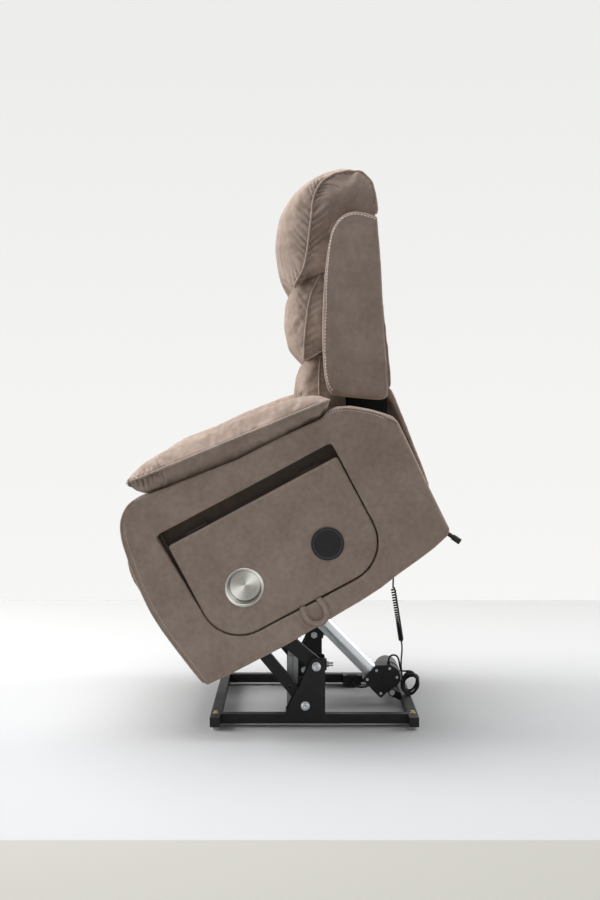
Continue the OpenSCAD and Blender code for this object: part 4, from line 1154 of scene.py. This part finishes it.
table_panel = sewn_shape("table_panel_cover", chair_place, 408, panel_face,
                         drawn_in(panel_line, Vector((315, 200)), amount=4, grown=0.5), swell=6)
for spot, radius in ((cup_spot, cup_radius), (charger_spot, charger_radius)):
    cut_out(table_panel, 400, 440, circle(spot, radius + hole_gap))
remeshed(table_panel, voxel=0.0032, passes=2)
rumple(table_panel, depth=0.0007, size=0.13, seed=17)
upholstered(table_panel, "table", "table_panel")
panel_edge = placed(chair_place, panel_face, [(u, 340.5) for u in (546, 430, 315, 200, 85)])
topstitch("table_stitch", on_cover(table_panel, panel_edge, 0.0002), "table", pitch=0.0065,
          width=0.0005)


def turned(name, spot, profile, finish, node):
    """A round fitting let into the board."""
    piece = spun(name, placed(chair_place, 0.001, [spot]), profile, finish.material, steps=96)
    fitted(piece, "table", node)


def round_finish(name, spot, **constants):
    """A finish that also holds its distance and turn about the middle of a fitting."""
    finish = Finish(name, **constants)
    centre = placed(chair_place, 428, [spot])[0]
    _, y, z = finish.split(finish.spot)
    y, z = y - centre.y, z - centre.z
    finish.out = (y * y + z * z) ** 0.5
    finish.turn = y.math("ARCTAN2", z)
    return finish


# The cup holder is spun from stainless sheet: a rolled rim, a bead below it and a bowl
# whose floor shows the turning marks. Its colour also holds painted highlights: bright
# wedges running out from the middle one way, darker between them.
stainless = round_finish("spun_stainless", cup_spot, Metallic=1.0)
marks = stainless.add("ShaderNodeTexNoise", {"noise_dimensions": "2D"}, {
    "Vector": stainless.add("ShaderNodeCombineXYZ", {}, {0: stainless.out * 1400,
                                                         1: stainless.turn * 0.7}),
    "Scale": 1.0, "Detail": 3.0})
# Painted highlight: bright wedges about the bowl's middle, standing in for the light the turned
# metal catches.
painted_highlight_wedges = abs((stainless.turn + 0.7).math("SINE")) ** 5
stainless.set("Base Color", stainless.blend(0.5 * marks + 0.85 * painted_highlight_wedges - 0.15,
                                            (0.3, 0.288, 0.262), (0.92, 0.91, 0.88)))
stainless.set("Roughness", 0.2 + 0.22 * marks)
stainless.relief(marks, 0.00012)
cup_profile = [(0, 384.5), (20, 384.3), (34, 384.0), (38, 384.6), (39.8, 386.4), (40.3, 390),
               (40.4, 398), (40.4, 410), (40.7, 412), (40.4, 414), (40.5, 424), (41.2, 427.6),
               (42.6, 430), (45, 430.6), (47.4, 430.2), (48.8, 429.2), (49, 428), (47.6, 427.9),
               (42.2, 427.9), (41.6, 424), (41.6, 414), (41.8, 412), (41.5, 410), (41.4, 395),
               (41.0, 378), (39.6, 372.6), (37, 370), (32, 369.4), (0, 369.6)]
turned("cup_holder_bowl", cup_spot, cup_profile, stainless, "cup_holder")

# The charging pad is a moulded disc with a ring groove and a softer, matt middle. The
# groove's raised outer wall is painted lighter, as a highlight.
disc = round_finish("charger_plastic", charger_spot, Specular_IOR_Level=0.35)
middle = 1 - (disc.out > 0.0335)
# Painted highlight: a lighter band on the groove's outer wall.
ring = (disc.out > 0.0339) * (1 - (disc.out > 0.0354))
disc.set("Base Color", disc.blend(0.8 * ring + 0.2 * disc.grain(70, 3),
                                  (0.007, 0.007, 0.0075), (0.07, 0.07, 0.072)))
disc.set("Roughness", 0.3 + 0.3 * middle + 0.15 * disc.grain(240))
disc.relief(disc.grain(1300, 3) * (0.3 + 0.7 * middle), 0.00015)
charger_profile = [(0, 429.0), (14, 429.0), (30, 429.05), (32.6, 429.2), (33.3, 428.7),
                   (33.9, 428.5), (34.5, 428.8), (35.2, 429.7), (37.2, 430.1), (39.6, 430.0),
                   (40.7, 429.2), (41, 428.0), (40, 427.9), (37, 427.9), (36.9, 410),
                   (36.2, 402.4), (35, 402), (0, 402)]
turned("charging_disc", charger_spot, charger_profile, disc, "charging_pad")

# The pull is a folded strap of the same fabric, flat against the arm. Each end is sewn to
# the back of the board and brought out under its lower edge.
strap_ends = (301.5, 347.5)
strap_line = placed(chair_place, 431.4, [(301.5, 55), (299.5, 43), (298, 28), (302, 13),
                                         (312, 3), (323, -1), (336, 1), (346, 9),
                                         (350.5, 23), (350, 40), (347.5, 55)])


def stand_off(spot):
    """How far the strap stands out from the board's face as it hangs below it."""
    hang = (0.055 - (chair_place.inverted() @ spot).z) / 0.056
    return 0.005 * max(0.0, min(1.0, hang))


pull_strap = tube("pull_strap", rounded_path(strap_line, 0.002), 0.007, 16, fabric)
for v in pull_strap.data.vertices:
    v.co.x = 0.4316 + stand_off(v.co) + (v.co.x - 0.4314) * 0.2
strap_shape = bmesh.new()
strap_shape.from_mesh(pull_strap.data)
# Each end turns in under the board's lower edge, then up its back.
for u in strap_ends:
    for x, v, depth, height in ((419, 54.6, 26, 2), (407, 70, 2, 32)):
        made = bmesh.ops.create_cube(strap_shape, size=1)["verts"]
        bmesh.ops.scale(strap_shape, vec=Vector((depth, 14, height)) / 1000, verts=made)
        bmesh.ops.transform(strap_shape, verts=made, matrix=chair_place @ Matrix.Translation(
            Vector((x, u, v)) / 1000))
strap_shape.to_mesh(pull_strap.data)
strap_shape.free()
upholstered(pull_strap, "table", "pull_loop")
strap_edge = [p + Vector((0.0018 + stand_off(p), 0, 0)) for p in
              rounded_path(strap_line, 0.003)]
topstitch("pull_stitch", strap_edge, "table", pitch=0.005, width=0.00045)
